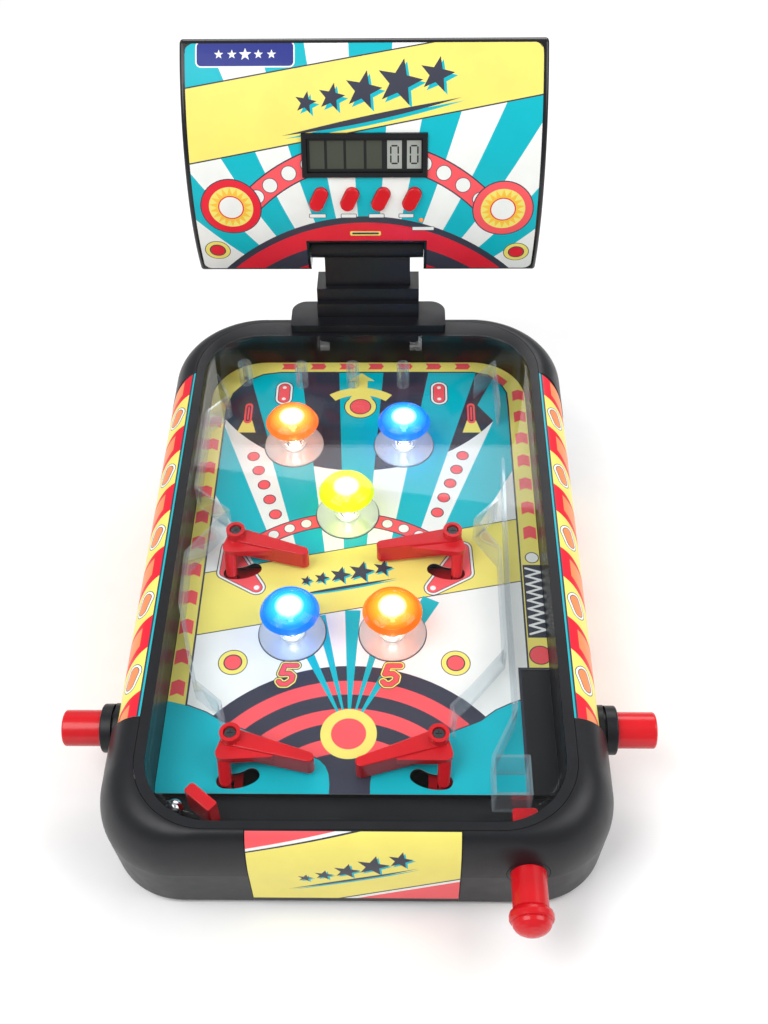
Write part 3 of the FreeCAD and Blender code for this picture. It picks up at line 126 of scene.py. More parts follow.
def side_face(side):
    """The outside of a flank: v along it, up its curve, depth into it."""
    def place(v, up, depth):
        (out, low), (across, over) = shoulder(*SIDE_SHOULDER, -up)
        return deck(side * (BEZEL_HALF + out - depth * across), v, -low - depth * over)
    return place


def front_face(x, up, depth):
    """The outside of the front: x across, up its curve, depth into it."""
    (out, low), (across, over) = shoulder(*FRONT_SHOULDER, -up)
    return deck(x, FRONT_EDGE - out + depth * across, -low - depth * over)


# ---------------------------------------------------------------- materials
def tree(name):
    """A new material with its nodes, links and main shader."""
    material = bpy.data.materials.new(name)
    material.use_nodes = True
    nodes = material.node_tree.nodes
    return material, nodes, material.node_tree.links, nodes["Principled BSDF"]


def noise(nodes, links, coords, scale, detail=3.0):
    """Noise fixed to the piece, so that it moves with it."""
    node = nodes.new("ShaderNodeTexNoise")
    node.inputs["Scale"].default_value = scale
    node.inputs["Detail"].default_value = detail
    links.new(coords.outputs["Object"], node.inputs["Vector"])
    return node


def spread(nodes, links, source, low, high):
    """A value from 0 to 1 spread from low to high."""
    node = nodes.new("ShaderNodeMapRange")
    node.inputs["To Min"].default_value = low
    node.inputs["To Max"].default_value = high
    links.new(source, node.inputs["Value"])
    return node.outputs["Result"]


def plastic(name, color, rough=0.4, coat=0.0, metal=0.0, vary=0.05, grain=0.02, grain_scale=1800.0,
            specular=0.5):
    """Moulded or printed surface: slight tone changes, smudged gloss and a fine grain."""
    material, nodes, links, shader = tree(name)
    coords = nodes.new("ShaderNodeTexCoord")
    tone = nodes.new("ShaderNodeValToRGB")
    dark, light = tone.color_ramp.elements
    dark.position, light.position = 0.3, 0.7
    dark.color = [channel * (1 - vary) for channel in color] + [1]
    light.color = [min(1, channel * (1 + vary) + vary * 0.01) for channel in color] + [1]
    links.new(noise(nodes, links, coords, 45.0).outputs["Fac"], tone.inputs["Fac"])
    links.new(tone.outputs["Color"], shader.inputs["Base Color"])
    smudge = noise(nodes, links, coords, 120.0, 5.0)
    gloss = spread(nodes, links, smudge.outputs["Fac"], rough * 0.8, rough * 1.2)
    links.new(gloss, shader.inputs["Roughness"])
    bump = nodes.new("ShaderNodeBump")
    bump.inputs["Strength"].default_value = grain
    bump.inputs["Distance"].default_value = 0.0002
    links.new(noise(nodes, links, coords, grain_scale).outputs["Fac"], bump.inputs["Height"])
    links.new(bump.outputs["Normal"], shader.inputs["Normal"])
    shader.inputs["Metallic"].default_value = metal
    shader.inputs["Coat Weight"].default_value = coat
    shader.inputs["Coat Roughness"].default_value = 0.06
    shader.inputs["Specular IOR Level"].default_value = specular
    return material


def clear(name, tint, body=0.06, rough=0.05, edge_on=0.55, milk=0.0):
    """Clear moulded plastic: see-through and glossy, brighter where it is seen edge on; milk clouds it."""
    material, nodes, links, shader = tree(name)
    coords = nodes.new("ShaderNodeTexCoord")
    shader.inputs["Base Color"].default_value = (*tint, 1)
    cloud = noise(nodes, links, coords, 160.0, 4.0)
    gloss = nodes.new("ShaderNodeBsdfGlossy")
    gloss.inputs["Color"].default_value = (*tint, 1)
    smear = spread(nodes, links, cloud.outputs["Fac"], rough * 0.6, rough * 1.6)
    links.new(smear, gloss.inputs["Roughness"])
    see = nodes.new("ShaderNodeBsdfTransparent")
    see.inputs["Color"].default_value = (0.975, 0.985, 0.99, 1)
    edge = nodes.new("ShaderNodeLayerWeight")
    edge.inputs["Blend"].default_value = 0.25
    amount = spread(nodes, links, edge.outputs["Facing"], body, edge_on)
    solid = nodes.new("ShaderNodeMixShader")
    solid.inputs["Fac"].default_value = milk
    links.new(gloss.outputs["BSDF"], solid.inputs[1])
    links.new(shader.outputs["BSDF"], solid.inputs[2])
    mix = nodes.new("ShaderNodeMixShader")
    links.new(amount, mix.inputs["Fac"])
    links.new(see.outputs["BSDF"], mix.inputs[1])
    links.new(solid.outputs["Shader"], mix.inputs[2])
    links.new(mix.outputs["Shader"], nodes["Material Output"].inputs["Surface"])
    return material


def lens(name, color, foot, head, glow=5.0):
    """A cap lit from inside: white hot round its axis, foot to head, and its own colour further out."""
    material, nodes, links, shader = tree(name)
    coords = nodes.new("ShaderNodeTexCoord")
    axis = (head - foot).normalized()
    away = nodes.new("ShaderNodeVectorMath")
    away.operation = "SUBTRACT"
    away.inputs[1].default_value = foot
    links.new(coords.outputs["Object"], away.inputs[0])
    across = nodes.new("ShaderNodeVectorMath")
    across.operation = "CROSS_PRODUCT"
    across.inputs[1].default_value = axis
    links.new(away.outputs["Vector"], across.inputs[0])
    length = nodes.new("ShaderNodeVectorMath")
    length.operation = "LENGTH"
    links.new(across.outputs["Vector"], length.inputs[0])
    reach = nodes.new("ShaderNodeMapRange")
    reach.inputs["From Max"].default_value = CAP_REACH
    links.new(length.outputs["Value"], reach.inputs["Value"])
    heat = nodes.new("ShaderNodeValToRGB")
    heat.color_ramp.elements[0].color = (1, 1, 1, 1)
    heat.color_ramp.elements[0].position = 0.22
    heat.color_ramp.elements[1].color = [*color, 1]
    heat.color_ramp.elements[1].position = 0.50
    links.new(reach.outputs["Result"], heat.inputs["Fac"])
    power = nodes.new("ShaderNodeValToRGB")
    power.color_ramp.elements[0].color = (1, 1, 1, 1)
    power.color_ramp.elements[0].position = 0.12
    power.color_ramp.elements[1].color = (0.05, 0.05, 0.05, 1)
    power.color_ramp.elements[1].position = 0.85
    links.new(reach.outputs["Result"], power.inputs["Fac"])
    strength = nodes.new("ShaderNodeMath")
    strength.operation = "MULTIPLY"
    strength.inputs[1].default_value = glow
    links.new(power.outputs["Color"], strength.inputs[0])
    links.new(heat.outputs["Color"], shader.inputs["Emission Color"])
    links.new(strength.outputs["Value"], shader.inputs["Emission Strength"])
    shader.inputs["Base Color"].default_value = [*color, 1]
    grain = noise(nodes, links, coords, 300.0)
    links.new(spread(nodes, links, grain.outputs["Fac"], 0.08, 0.16), shader.inputs["Roughness"])
    see = nodes.new("ShaderNodeBsdfTransparent")
    see.inputs["Color"].default_value = [0.30 + 0.70 * channel for channel in color] + [1]
    mix = nodes.new("ShaderNodeMixShader")
    edge = nodes.new("ShaderNodeLayerWeight")
    edge.inputs["Blend"].default_value = 0.4
    links.new(spread(nodes, links, edge.outputs["Facing"], 0.55, 0.9), mix.inputs["Fac"])
    links.new(see.outputs["BSDF"], mix.inputs[1])
    links.new(shader.outputs["BSDF"], mix.inputs[2])
    links.new(mix.outputs["Shader"], nodes["Material Output"].inputs["Surface"])
    return material


def glowing(name, color, strength):
    """A lamp of nearly even brightness."""
    material, nodes, links, shader = tree(name)
    coords = nodes.new("ShaderNodeTexCoord")
    shader.inputs["Base Color"].default_value = [*color, 1]
    shader.inputs["Emission Color"].default_value = [*color, 1]
    flicker = noise(nodes, links, coords, 400.0)
    power = spread(nodes, links, flicker.outputs["Fac"], strength * 0.9, strength * 1.1)
    links.new(power, shader.inputs["Emission Strength"])
    return material


INK_COLORS = {
    "teal": (0.0, 0.43, 0.51),
    "white": (0.80, 0.82, 0.79),
    "yellow": (0.82, 0.72, 0.16),
    "coral": (0.86, 0.095, 0.11),
    "red": (0.74, 0.015, 0.035),
    "orange": (0.85, 0.27, 0.10),
    "slate": (0.040, 0.042, 0.065),
    "navy": (0.020, 0.030, 0.22),
    "sun": (0.88, 0.50, 0.05),
    "lcd_dark": (0.055, 0.062, 0.045),
    "lcd_light": (0.34, 0.36, 0.33),
    "lcd_ink": (0.012, 0.013, 0.013),
    "sheet_edge": (0.60, 0.60, 0.58),
}
INKS = {name: plastic("ink_" + name, color, rough=0.38, coat=0.05, vary=0.03, grain=0.006, specular=0.25)
        for name, color in INK_COLORS.items()}

BLACK = plastic("satin_black_plastic", (0.0075, 0.0080, 0.0105), rough=0.38, vary=0.10, grain=0.05,
                grain_scale=2400.0, specular=0.28)
WELL = plastic("well_black_plastic", (0.0065, 0.0070, 0.0085), rough=0.34, coat=0.05, vary=0.10,
               specular=0.3)
GLOSS = plastic("gloss_black_plastic", (0.006, 0.006, 0.008), rough=0.24, coat=0.1, vary=0.10, specular=0.35)
RED = plastic("red_plastic", (0.60, 0.006, 0.012), rough=0.24, coat=0.15, vary=0.08, grain=0.01,
              specular=0.3)
STEEL = plastic("spring_steel", (0.56, 0.56, 0.58), rough=0.24, metal=1.0, vary=0.06)
BALL = plastic("polished_steel", (0.78, 0.78, 0.80), rough=0.08, metal=1.0, vary=0.03)
RUBBER = plastic("foot_rubber", (0.02, 0.02, 0.02), rough=0.8, vary=0.15, grain=0.2)
DARK = plastic("board_green", (0.01, 0.06, 0.03), rough=0.45, vary=0.15)
CLEAR = clear("clear_plastic", (0.88, 0.95, 1.0), body=0.10, rough=0.06, edge_on=0.60, milk=0.35)
COVER = clear("clear_cover", (1.0, 1.0, 1.0), body=0.002, rough=0.02, edge_on=0.09)
DISC = clear("clear_disc", (0.70, 0.74, 0.74), body=0.40, rough=0.10, edge_on=0.75, milk=0.75)
SCREW = plastic("dark_screw", (0.05, 0.05, 0.055), rough=0.35, metal=0.6, vary=0.1)
LAMP = glowing("lit_lamp", (1.0, 0.95, 0.85), 12.0)
LED = glowing("status_lamp", (0.95, 0.20, 0.03), 0.5)

SLOT_MATERIALS = {
    "black_plastic": BLACK,
    "black_gloss": GLOSS,
    "printed_sheet": INKS["white"],
    "clear_plastic": CLEAR,
    "spring_steel": STEEL,
    "polished_steel": BALL,
    "lit_lamp": LAMP,
    "red_plastic": RED,
    "rubber": RUBBER,
    "dark_parts": DARK,
    "display_glass": GLOSS,
}
CAP_COLORS = {
    "bumper_cap_rear_left": (0.95, 0.27, 0.03),
    "bumper_cap_rear_right": (0.02, 0.30, 0.88),
    "bumper_cap_middle": (0.78, 0.86, 0.01),
    "bumper_cap_front_left": (0.01, 0.30, 0.85),
    "bumper_cap_front_right": (0.95, 0.25, 0.01),
}
NODE_MATERIALS = {
    "clear_cover": COVER,
    "bumper_discs": DISC,
    "playfield_tray": WELL,
    "flipper_screws": SCREW,
}


def give(node, material):
    """Put one material on a CAD node's own slots, and leave its mesh alone."""
    slots = node.material_slots
    if not slots:
        node.data.materials.append(material)
    for slot in slots:
        slot.link = "OBJECT"
        slot.material = material


for entry in RECORD["subparts"]:
    name = entry["node"]
    node = frame["nodes"][name]
    if name in CAP_COLORS:
        low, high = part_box(name)
        foot = (Vector(low) + Vector(high)) / 2
        give(node, lens("lens_" + name, CAP_COLORS[name], foot, foot + deck(0, 0, 1) - deck(0, 0, 0)))
    else:
        give(node, NODE_MATERIALS.get(name) or SLOT_MATERIALS[entry["material_slot"]])


# ---------------------------------------------------------------- flat shapes for the printed sheets
def circle(x, y, radius, count=48):
    turns = [2 * math.pi * index / count for index in range(count)]
    return [(x + radius * math.cos(turn), y + radius * math.sin(turn)) for turn in turns]


def wedge(x, y, start, end, near, far):
    """A ray between two angles from straight up, clockwise, in degrees."""
    def at(radius, angle):
        return x + radius * math.sin(math.radians(angle)), y + radius * math.cos(math.radians(angle))
    return [at(near, start), at(far, start), at(far, end), at(near, end)]


def arc_band(x, y, inner, outer, start, end, steps=48):
    """A band between two radii, from one angle to another, clockwise from straight up."""
    def arc(radius):
        return [(x + radius * math.sin(turn), y + radius * math.cos(turn)) for turn in turns]
    turns = [math.radians(start + (end - start) * step / steps) for step in range(steps + 1)]
    return arc(outer) + arc(inner)[::-1]


def capsule(x, y, half_width, half_length, tilt=0.0):
    """An upright bar with round ends, turned by tilt."""
    straight = half_length - half_width
    points = []
    for end in (1, -1):
        for step in range(13):
            turn = math.pi * step / 12 + (0 if end > 0 else math.pi)
            points.append((half_width * math.cos(turn), end * straight + half_width * math.sin(turn)))
    cos, sin = math.cos(tilt), math.sin(tilt)
    return [(x + a * cos - b * sin, y + a * sin + b * cos) for a, b in points]


def star(x, y, radius, points=5, inner=0.42, tilt=0.0):
    corners = []
    for index in range(2 * points):
        turn = math.pi * index / points + tilt
        reach = radius if index % 2 == 0 else radius * inner
        corners.append((x + reach * math.sin(turn), y + reach * math.cos(turn)))
    return corners


def line(points, width):
    """A stroke along a line of points: one polygon for each run and a round one for each turn."""
    shapes = []
    for (ax, ay), (bx, by) in zip(points, points[1:]):
        length = math.hypot(bx - ax, by - ay)
        nx, ny = -(by - ay) / length * width / 2, (bx - ax) / length * width / 2
        shapes.append([(ax + nx, ay + ny), (bx + nx, by + ny), (bx - nx, by - ny), (ax - nx, ay - ny)])
    for x, y in points:
        shapes.append(circle(x, y, width / 2, 16))
    return shapes


def rounded(corners, radius, steps=6):
    """A convex polygon grown by radius, with round corners."""
    centre = np.mean(corners, axis=0)
    ordered = sorted(corners, key=lambda p: math.atan2(p[1] - centre[1], p[0] - centre[0]))
    points = []
    count = len(ordered)
    for index in range(count):
        before, here, after = ordered[index - 1], ordered[index], ordered[(index + 1) % count]
        first = math.atan2(here[1] - before[1], here[0] - before[0]) - math.pi / 2
        last = math.atan2(after[1] - here[1], after[0] - here[0]) - math.pi / 2
        turn = (last - first) % (2 * math.pi)
        for step in range(steps + 1):
            angle = first + turn * step / steps
            points.append((here[0] + radius * math.cos(angle), here[1] + radius * math.sin(angle)))
    return points


def inside(points, polygon):
    """Which of an array of points lie inside a polygon."""
    x, y = points[:, 0], points[:, 1]
    result = np.zeros(len(points), bool)
    corners = np.asarray(polygon, float)
    low, high = corners.min(0), corners.max(0)
    near = (x >= low[0]) & (x <= high[0]) & (y >= low[1]) & (y <= high[1])
    px, py = x[near], y[near]
    hit = np.zeros(len(px), bool)
    for (ax, ay), (bx, by) in zip(corners, np.roll(corners, -1, axis=0)):
        if ay == by:
            continue
        crosses = (ay > py) != (by > py)
        hit ^= crosses & (px < (bx - ax) * (py - ay) / (by - ay) + ax)
    result[near] = hit
    return result


class Sheet:
    """A printed sheet: coloured shapes laid over one another inside an outline, later ones on top."""

    def __init__(self, outline, base):
        self.outline = outline
        self.base = base
        self.layers = []
        self.holes = []

    def paint(self, ink, *shapes):
        for shape in shapes:
            self.layers.append((ink, shape))

    def rings(self, x, y, *discs, count=48):
        """Discs of smaller and smaller radius on one another."""
        for ink, radius in discs:
            self.paint(ink, circle(x, y, radius, count))

    def cut(self, *shapes):
        """Openings through the sheet."""
        self.holes += shapes

    def mesh(self, name, place, thick, across=(), along=()):
        """One mesh whose faces follow the printed edges; across and along are bend lines."""
        loops = [self.outline] + self.holes + [shape for _, shape in self.layers]
        points, edges = [], []
        for loop in loops:
            start = len(points)
            points += [Vector(point) for point in loop]
            edges += [(start + k, start + (k + 1) % len(loop)) for k in range(len(loop))]
        corners = np.array(self.outline)
        (x0, y0), (x1, y1) = corners.min(0), corners.max(0)
        runs = [((x0, y), (x1, y)) for y in across if y0 < y < y1]
        runs += [((x, y0), (x, y1)) for x in along if x0 < x < x1]
        for first, second in runs:
            edges.append((len(points), len(points) + 1))
            points += [Vector(first), Vector(second)]
        flat, _, faces, _, _, _ = delaunay_2d_cdt(points, edges, [], 0, 1e-5, False)
        flat = np.array([tuple(point) for point in flat])
        faces = np.array([tuple(face) for face in faces])
        middle = flat[faces].mean(axis=1)
        keep = inside(middle, self.outline)
        for hole in self.holes:
            keep &= ~inside(middle, hole)
        faces, middle = faces[keep], middle[keep]
        inks = [self.base]
        ink_of = np.zeros(len(faces), int)
        for ink, shape in self.layers:
            if ink not in inks:
                inks.append(ink)
            ink_of[inside(middle, shape)] = inks.index(ink)
        used = sorted(set(faces.ravel()))
        index = {old: new for new, old in enumerate(used)}
        top = [place(*flat[old], 0.0) for old in used]
        low = [place(*flat[old], thick) for old in used]
        polygons = [[index[corner] for corner in face] for face in faces]
        a, b, c = (np.array(top[corner]) for corner in polygons[0])
        outward = np.array(top[polygons[0][0]]) - np.array(low[polygons[0][0]])
        if np.dot(np.cross(b - a, c - a), outward) < 0:
            polygons = [face[::-1] for face in polygons]
        sides = {}
        for face in polygons:
            for first, second in zip(face, face[1:] + face[:1]):
                sides[(first, second)] = sides.get((first, second), 0) + 1
        rim = [(first, second) for first, second in sides if (second, first) not in sides]
        count = len(used)
        inks.append("sheet_edge")
        material_of = list(ink_of) + [len(inks) - 1] * len(rim)
        polygons += [[second, first, first + count, second + count] for first, second in rim]
        data = bpy.data.meshes.new(name)
        data.from_pydata([tuple(point) for point in top + low], [], polygons)
        for ink in inks:
            data.materials.append(INKS[ink])
        data.polygons.foreach_set("material_index", material_of)
        data.update()
        piece = bpy.data.objects.new(name, data)
        bpy.context.scene.collection.objects.link(piece)
        return piece


def smooth(piece, degrees=40.0):
    for polygon in piece.data.polygons:
        polygon.use_smooth = True
    piece.data.set_sharp_from_angle(angle=math.radians(degrees))


def star_flourish(sheet, x, y, size, slope, ink="slate", shadow="teal"):
    """A climbing row of stars over a long stroke, where the real one has its name."""
    spots = [(-2.9, 0.50), (-1.75, 0.62), (-0.35, 0.86), (1.25, 1.05), (2.9, 0.80)]
    for offset, color in ((0.13 * size, shadow), (0.0, ink)):
        dx, dy = offset, -offset
        for along, scale in spots:
            lift = along * size * slope + 0.25 * size
            sheet.paint(color, star(x + along * size + dx, y + lift + dy, scale * size, tilt=0.2))
        stroke = []
        for step in range(25):
            share = step / 24
            along = (share * 8.0 - 4.0) * size
            sag = 0.35 * size * (share - 0.5) ** 2
            stroke.append((x + along, y + along * slope - 1.02 * size + sag, share))
        upper = [(a + dx, b + dy + 0.17 * size * math.sin(math.pi * share)) for a, b, share in stroke]
        lower = [(a + dx, b + dy - 0.10 * size * math.sin(math.pi * share)) for a, b, share in stroke]
        sheet.paint(color, upper + lower[1:-1][::-1])


def figure_five(x, y, height):
    """Strokes of the number 5, leaning to the right."""
    w, h = height * 0.30, height / 2
    lean = 0.18
    raw = [(w, h), (-w * 0.8, h), (-w, 0.1 * h), (w * 0.2, 0.16 * h), (w * 0.85, -0.15 * h),
           (w * 0.85, -0.6 * h), (w * 0.2, -h), (-w * 0.6, -h), (-w * 1.05, -0.72 * h)]
    return [(x + a + b * lean, y + b) for a, b in raw]


# ---------------------------------------------------------------- the playfield sheet
BULL = (-6.4, 78.0)                 # centre of the lower target, where the rays meet
RAYS = ((-25.0, 2.6), (-13.6, 2.2), (0.0, 3.2), (13.6, 2.2), (27.0, 3.0))   # direction and half width
FAR = 480.0                         # past the sheet's rear edge
FIELD_FRONT = 36.0                  # v of the sheet's front edge
SLOT_REACH = 21.5                   # from a flipper's pivot to the middle of its slot
SLOT_HALF = 5.2
LEG_HOLE = 2.8
BANNER_FRONT = 176.3                # v of the banner's front edge at the middle, and its rise
BANNER_RISE = 0.2075
FLIPPERS = ((-78.4, 65.8, -1), (50.2, 65.8, 1), (-89.6, 227.4, -1), (62.6, 227.4, 1))
BUMPERS = ((-55.8, 330.2), (28.4, 330.2), (-12.6, 260.3), (-46.8, 155.2), (21.0, 155.2))


def window(inset, back):
    """The window's outline, drawn in by inset."""
    half, radius = WINDOW_HALF - inset, WINDOW_CORNER - inset
    points = []
    for x, y, start in ((half - radius, inset + radius, -90), (half - radius, back - inset - radius, 0),
                        (-half + radius, back - inset - radius, 90), (-half + radius, inset + radius, 180)):
        for step in range(13):
            turn = math.radians(start + 90 * step / 12)
            points.append((x + radius * math.cos(turn), y + radius * math.sin(turn)))
    return points


def round_slot(u, v, side):
    """The curved slot that a flipper's leg goes through, with round ends."""
    def at(reach, degrees, extra=(0.0, 0.0)):
        turn = math.radians(degrees)
        return u - side * (reach * math.cos(turn) + extra[0]), v + reach * math.sin(turn) + extra[1]

    points = [at(SLOT_REACH + SLOT_HALF, angle) for angle in range(-100, -53, 4)]
    for step in range(1, 8):
        turn = math.radians(-54 + 180 * step / 8)
        points.append(at(SLOT_REACH, -54, (SLOT_HALF * math.cos(turn), SLOT_HALF * math.sin(turn))))
    points += [at(SLOT_REACH - SLOT_HALF, angle) for angle in range(-54, -101, -4)]
    for step in range(1, 8):
        turn = math.radians(80 + 180 * step / 8)
        points.append(at(SLOT_REACH, -100, (SLOT_HALF * math.cos(turn), SLOT_HALF * math.sin(turn))))
    return points


def upper_rays(sheet):
    """Teal rays from the target to the rear, which go on over a dark disc."""
    for start, end in ((-27.6, -21.1), (-15.5, -8.9), (-3.0, 3.0), (9.4, 15.2), (20.6, 27.3)):
        sheet.paint("teal", wedge(*BULL, start, end, 1.0, FAR))
    sheet.paint("slate", circle(-6.0, 434.0, 130.0, 96))
    for start, end in ((-15.2, -8.3), (-3.05, 3.1), (9.3, 15.6)):
        sheet.paint("teal", wedge(*BULL, start, end, 1.0, FAR))
    x = BULL[0]
    sheet.paint("teal", [(x + 93, 374), (x + 122, 440), (x + 140, 440), (x + 140, 300), (x + 108, 352)])


def dots(sheet):
    """A dotted ray at each side, and a dotted arch between the bumpers."""
    for spots in (((-86.5, 318.5), (-81.4, 304.0), (-76.2, 289.5), (-71.0, 275.0), (-65.7, 260.5)),
                  ((73.2, 319.5), (68.2, 305.2), (63.1, 291.2), (58.0, 277.0), (53.0, 262.5))):
        for u, v in spots:
            sheet.rings(u, v, ("slate", 4.1 + 0.7), ("coral", 4.1), count=28)
    for ink, inner, outer in (("slate", 94.6, 107.4), ("coral", 95.5, 106.5)):
        sheet.paint(ink, arc_band(-13.0, 155.0, inner, outer, -40, 40))
    for side in (-1, 1):
        for angle in (17.0, 24.2, 31.4):
            turn = math.radians(side * angle)
            u, v = -13.0 + 101 * math.sin(turn), 155.0 + 101 * math.cos(turn)
            sheet.rings(u, v, ("slate", 3.7 + 0.5), ("white", 3.7), count=28)


def banner(sheet):
    """The slanting yellow band, and the white in front of it with its five thin rays."""
    sheet.paint("slate", [(-140.0, 147.2), (140.0, 205.4), (140.0, 263.3), (-140.0, 200.3)])
    sheet.paint("yellow", [(-140.0, 148.0), (140.0, 206.2), (140.0, 262.5), (-140.0, 199.5)])
    sheet.paint("white", [(-140, 147.2), (140, 205.4), (140, 0), (-140, 0)])
    x, y = BULL
    for angle, half in RAYS:
        turn = math.radians(angle)
        far = (BANNER_FRONT + BANNER_RISE * (x + 90 * math.tan(turn)) - y) / math.cos(turn)
        sheet.paint("teal", wedge(x, y, angle - half, angle + half, 1.0, far - 0.6))


def lower_target(sheet):
    """Rings cut by the five rays, the teal corners in front of them, and the target's middle."""
    x, y = BULL
    sheet.rings(x, 9.5, ("slate", 119.5), ("coral", 108.0), ("slate", 97.5), ("coral", 87.0), ("slate", 77.0),
                ("coral", 66.0), ("slate", 55.0), count=96)
    for angle, half in RAYS:
        sheet.paint("teal", wedge(x, y, angle - half, angle + half, 1.0, 62))
    left = [(-140, 105.4), (-112, 98.5), (-99, 93.2), (-88, 86.5), (-30, 62), (-24, 59), (-20.2, 55),
            (-18, 49.5), (-17.2, 43), (-17.2, 20), (-140, 20)]
    right = [(106, 103.5), (99, 101), (88, 95.5), (78, 87.5), (20, 62), (15, 59), (11, 55), (8.8, 49.5),
             (8, 43), (8, 20), (106, 20)]
    for corner in (left, right):
        sheet.paint("slate", *line(corner[:-2], 1.6))
        sheet.paint("teal", corner)
    sheet.rings(x, y, ("yellow", 18.0), ("coral", 11.2))


def small_targets(sheet):
    """Two round targets and the numbers beside the lower bumpers."""
    for u in (-85.0, 63.0):
        sheet.rings(u, 131.5, ("slate", 9.9), ("yellow", 9.3), ("slate", 6.3), ("coral", 5.5))
    for u in (-48.0, 20.5):
        strokes = figure_five(u, 122.0, 14.5)
        for ink, width in (("slate", 7.0), ("yellow", 5.8), ("slate", 4.0), ("coral", 3.1)):
            sheet.paint(ink, *line(strokes, width))


def flipper_plates(sheet):
    """A three-cornered plate under each upper flipper."""
    middle = -12.7
    for side in (-1, 1):
        corners = [(middle + side * 83.5, 229.0), (middle + side * 84.5, 207.0), (middle + side * 61.5, 193.5)]
        for ink, radius in (("slate", 6.6), ("white", 5.9), ("slate", 4.4), ("coral", 3.9)):
            sheet.paint(ink, rounded(corners, radius))
        sheet.paint("white", circle(middle + side * 61.5, 193.5, 2.0, 20))


def ornaments(sheet):
    """What is drawn at the rear: a crown in the middle, two capsules and two flasks."""
    x, y = BULL[0] + 0.4, 372.5
    sheet.rings(x, y, ("slate", 13.0), ("yellow", 12.2))
    x = BULL[0]
    sheet.paint("yellow", [(x - 9, 380), (x + 10, 380), (x + 5, 390), (x - 4, 390)])
    sheet.paint("yellow", arc_band(x, 352.0, 33.5, 42.0, -36, 37))
    sheet.paint("yellow", [(x - 4.5, 392), (x + 5.5, 392), (x + 5.5, 402), (x + 11, 402), (x + 0.5, 411),
                           (x - 10, 402), (x - 4.5, 402)])
    sheet.rings(x + 0.4, y, ("slate", 8.6), ("coral", 7.8))
    for u, v in ((-67.5, 387.8), (56.5, 387.6)):
        for ink, half, length in (("slate", 7.2, 13.4), ("white", 6.5, 12.7), ("slate", 4.9, 11.0),
                                  ("coral", 4.3, 10.4)):
            sheet.paint(ink, capsule(u, v, half, length))
        sheet.paint("white", circle(u, v + 6.5, 1.6, 16), circle(u, v - 6.5, 1.6, 16))
    for u in (-94.3, 81.3):
        sheet.paint("yellow", [(u - 7.3, 344), (u + 7.3, 344), (u + 3.6, 357), (u - 3.6, 357)])
        for ink, half, length in (("coral", 3.1, 11.2), ("slate", 1.6, 8.8), ("coral", 0.7, 7.4)):
            sheet.paint(ink, capsule(u, 365.0, half, length))


def flag(u, v, half_width=4.6, half_height=5.4, point=2.2):
    left, right, low, high = u - half_width, u + half_width, v - half_height, v + half_height
    return [(left, low), (u, low + point), (right, low), (right, high), (u, high + point), (left, high)]


def border(sheet):
    """The yellow border with its flags."""
    left = [(-112.2, 98.5), (-112.2, 372), (-108, 388), (-98, 402), (-86, 409.5), (-72, 412)]
    right = [(110.8, 128), (110.8, 374), (110.3, 388), (105.5, 400), (96, 409), (84, 412)]
    sheet.paint("yellow", [(-140, 105.4)] + left + [(-72, 440), (-140, 440)])
    sheet.paint("yellow", [(140, 128)] + right + [(84, 440), (140, 440)])
    sheet.paint("yellow", [(-73, 412), (85, 412), (85, 440), (-73, 440)])
    sheet.paint("slate", *line(left, 1.3), *line([left[-1], right[-1]], 1.3), *line(right[::-1], 1.3))
    for count in range(11):
        sheet.paint("coral", flag(-119.3, 110.5 + 24.4 * count))
    for count in range(7):
        sheet.paint("coral", flag(119.3, 242.5 + 23.6 * count))
    for count in range(7):
        u = -66.0 + 23.5 * count
        sheet.paint("coral", [(u - 5.5, 415.5), (u + 5.5, 415.5), (u + 7.5, 419), (u + 5.5, 422.5),
                              (u - 5.5, 422.5), (u - 3.5, 419)])
    sheet.paint("coral", [(100, 404), (108, 396), (112, 401), (104, 410)])


def lane(sheet):
    """The drawn spring in the plunger's lane, with a ball behind it and a knob in front."""
    sheet.paint("slate", [(112.2, 152), (140, 152), (140, 214), (112.2, 214)])
    coil = [(119.3 + (5.2 if count % 2 else -5.2), 155 + 56 * count / 16) for count in range(17)]
    sheet.paint("white", *line(coil, 1.7))
    sheet.rings(119.3, 220.5, ("slate", 5.0), ("white", 4.3), count=32)
    sheet.rings(119.5, 138.0, ("slate", 7.6), ("coral", 6.9), count=32)
    sheet.paint("slate", [(104, 20), (140, 20), (140, 128.2), (104, 128.2)])


def playfield():
    outline = [(x, max(y, FIELD_FRONT)) for x, y in window(0.3, WELL_BACK)]
    sheet = Sheet([point for index, point in enumerate(outline) if point != outline[index - 1]], "white")
    for draw in (upper_rays, dots, banner, lower_target, small_targets, flipper_plates):
        draw(sheet)
    for u, v in BUMPERS:
        sheet.rings(u, v, ("slate", 23.2), ("white", 22.3))
    for draw in (ornaments, border, lane):
        draw(sheet)
    star_flourish(sheet, -13.0, 203.0, 9.2, 0.21)
    sheet.cut([(106, 0), (200, 0), (200, 127), (106, 127)])
    for u, v, side in FLIPPERS:
        sheet.cut(round_slot(u, v, side), circle(u, v, LEG_HOLE, 24))
    for u, v in BUMPERS:
        sheet.cut(circle(u, v, 1.8, 20))
    piece = sheet.mesh("playfield_print", lambda u, v, depth: deck(u, v, FIELD_W - depth), 0.4)
    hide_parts("playfield_overlay")
    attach(piece, "housing")


playfield()


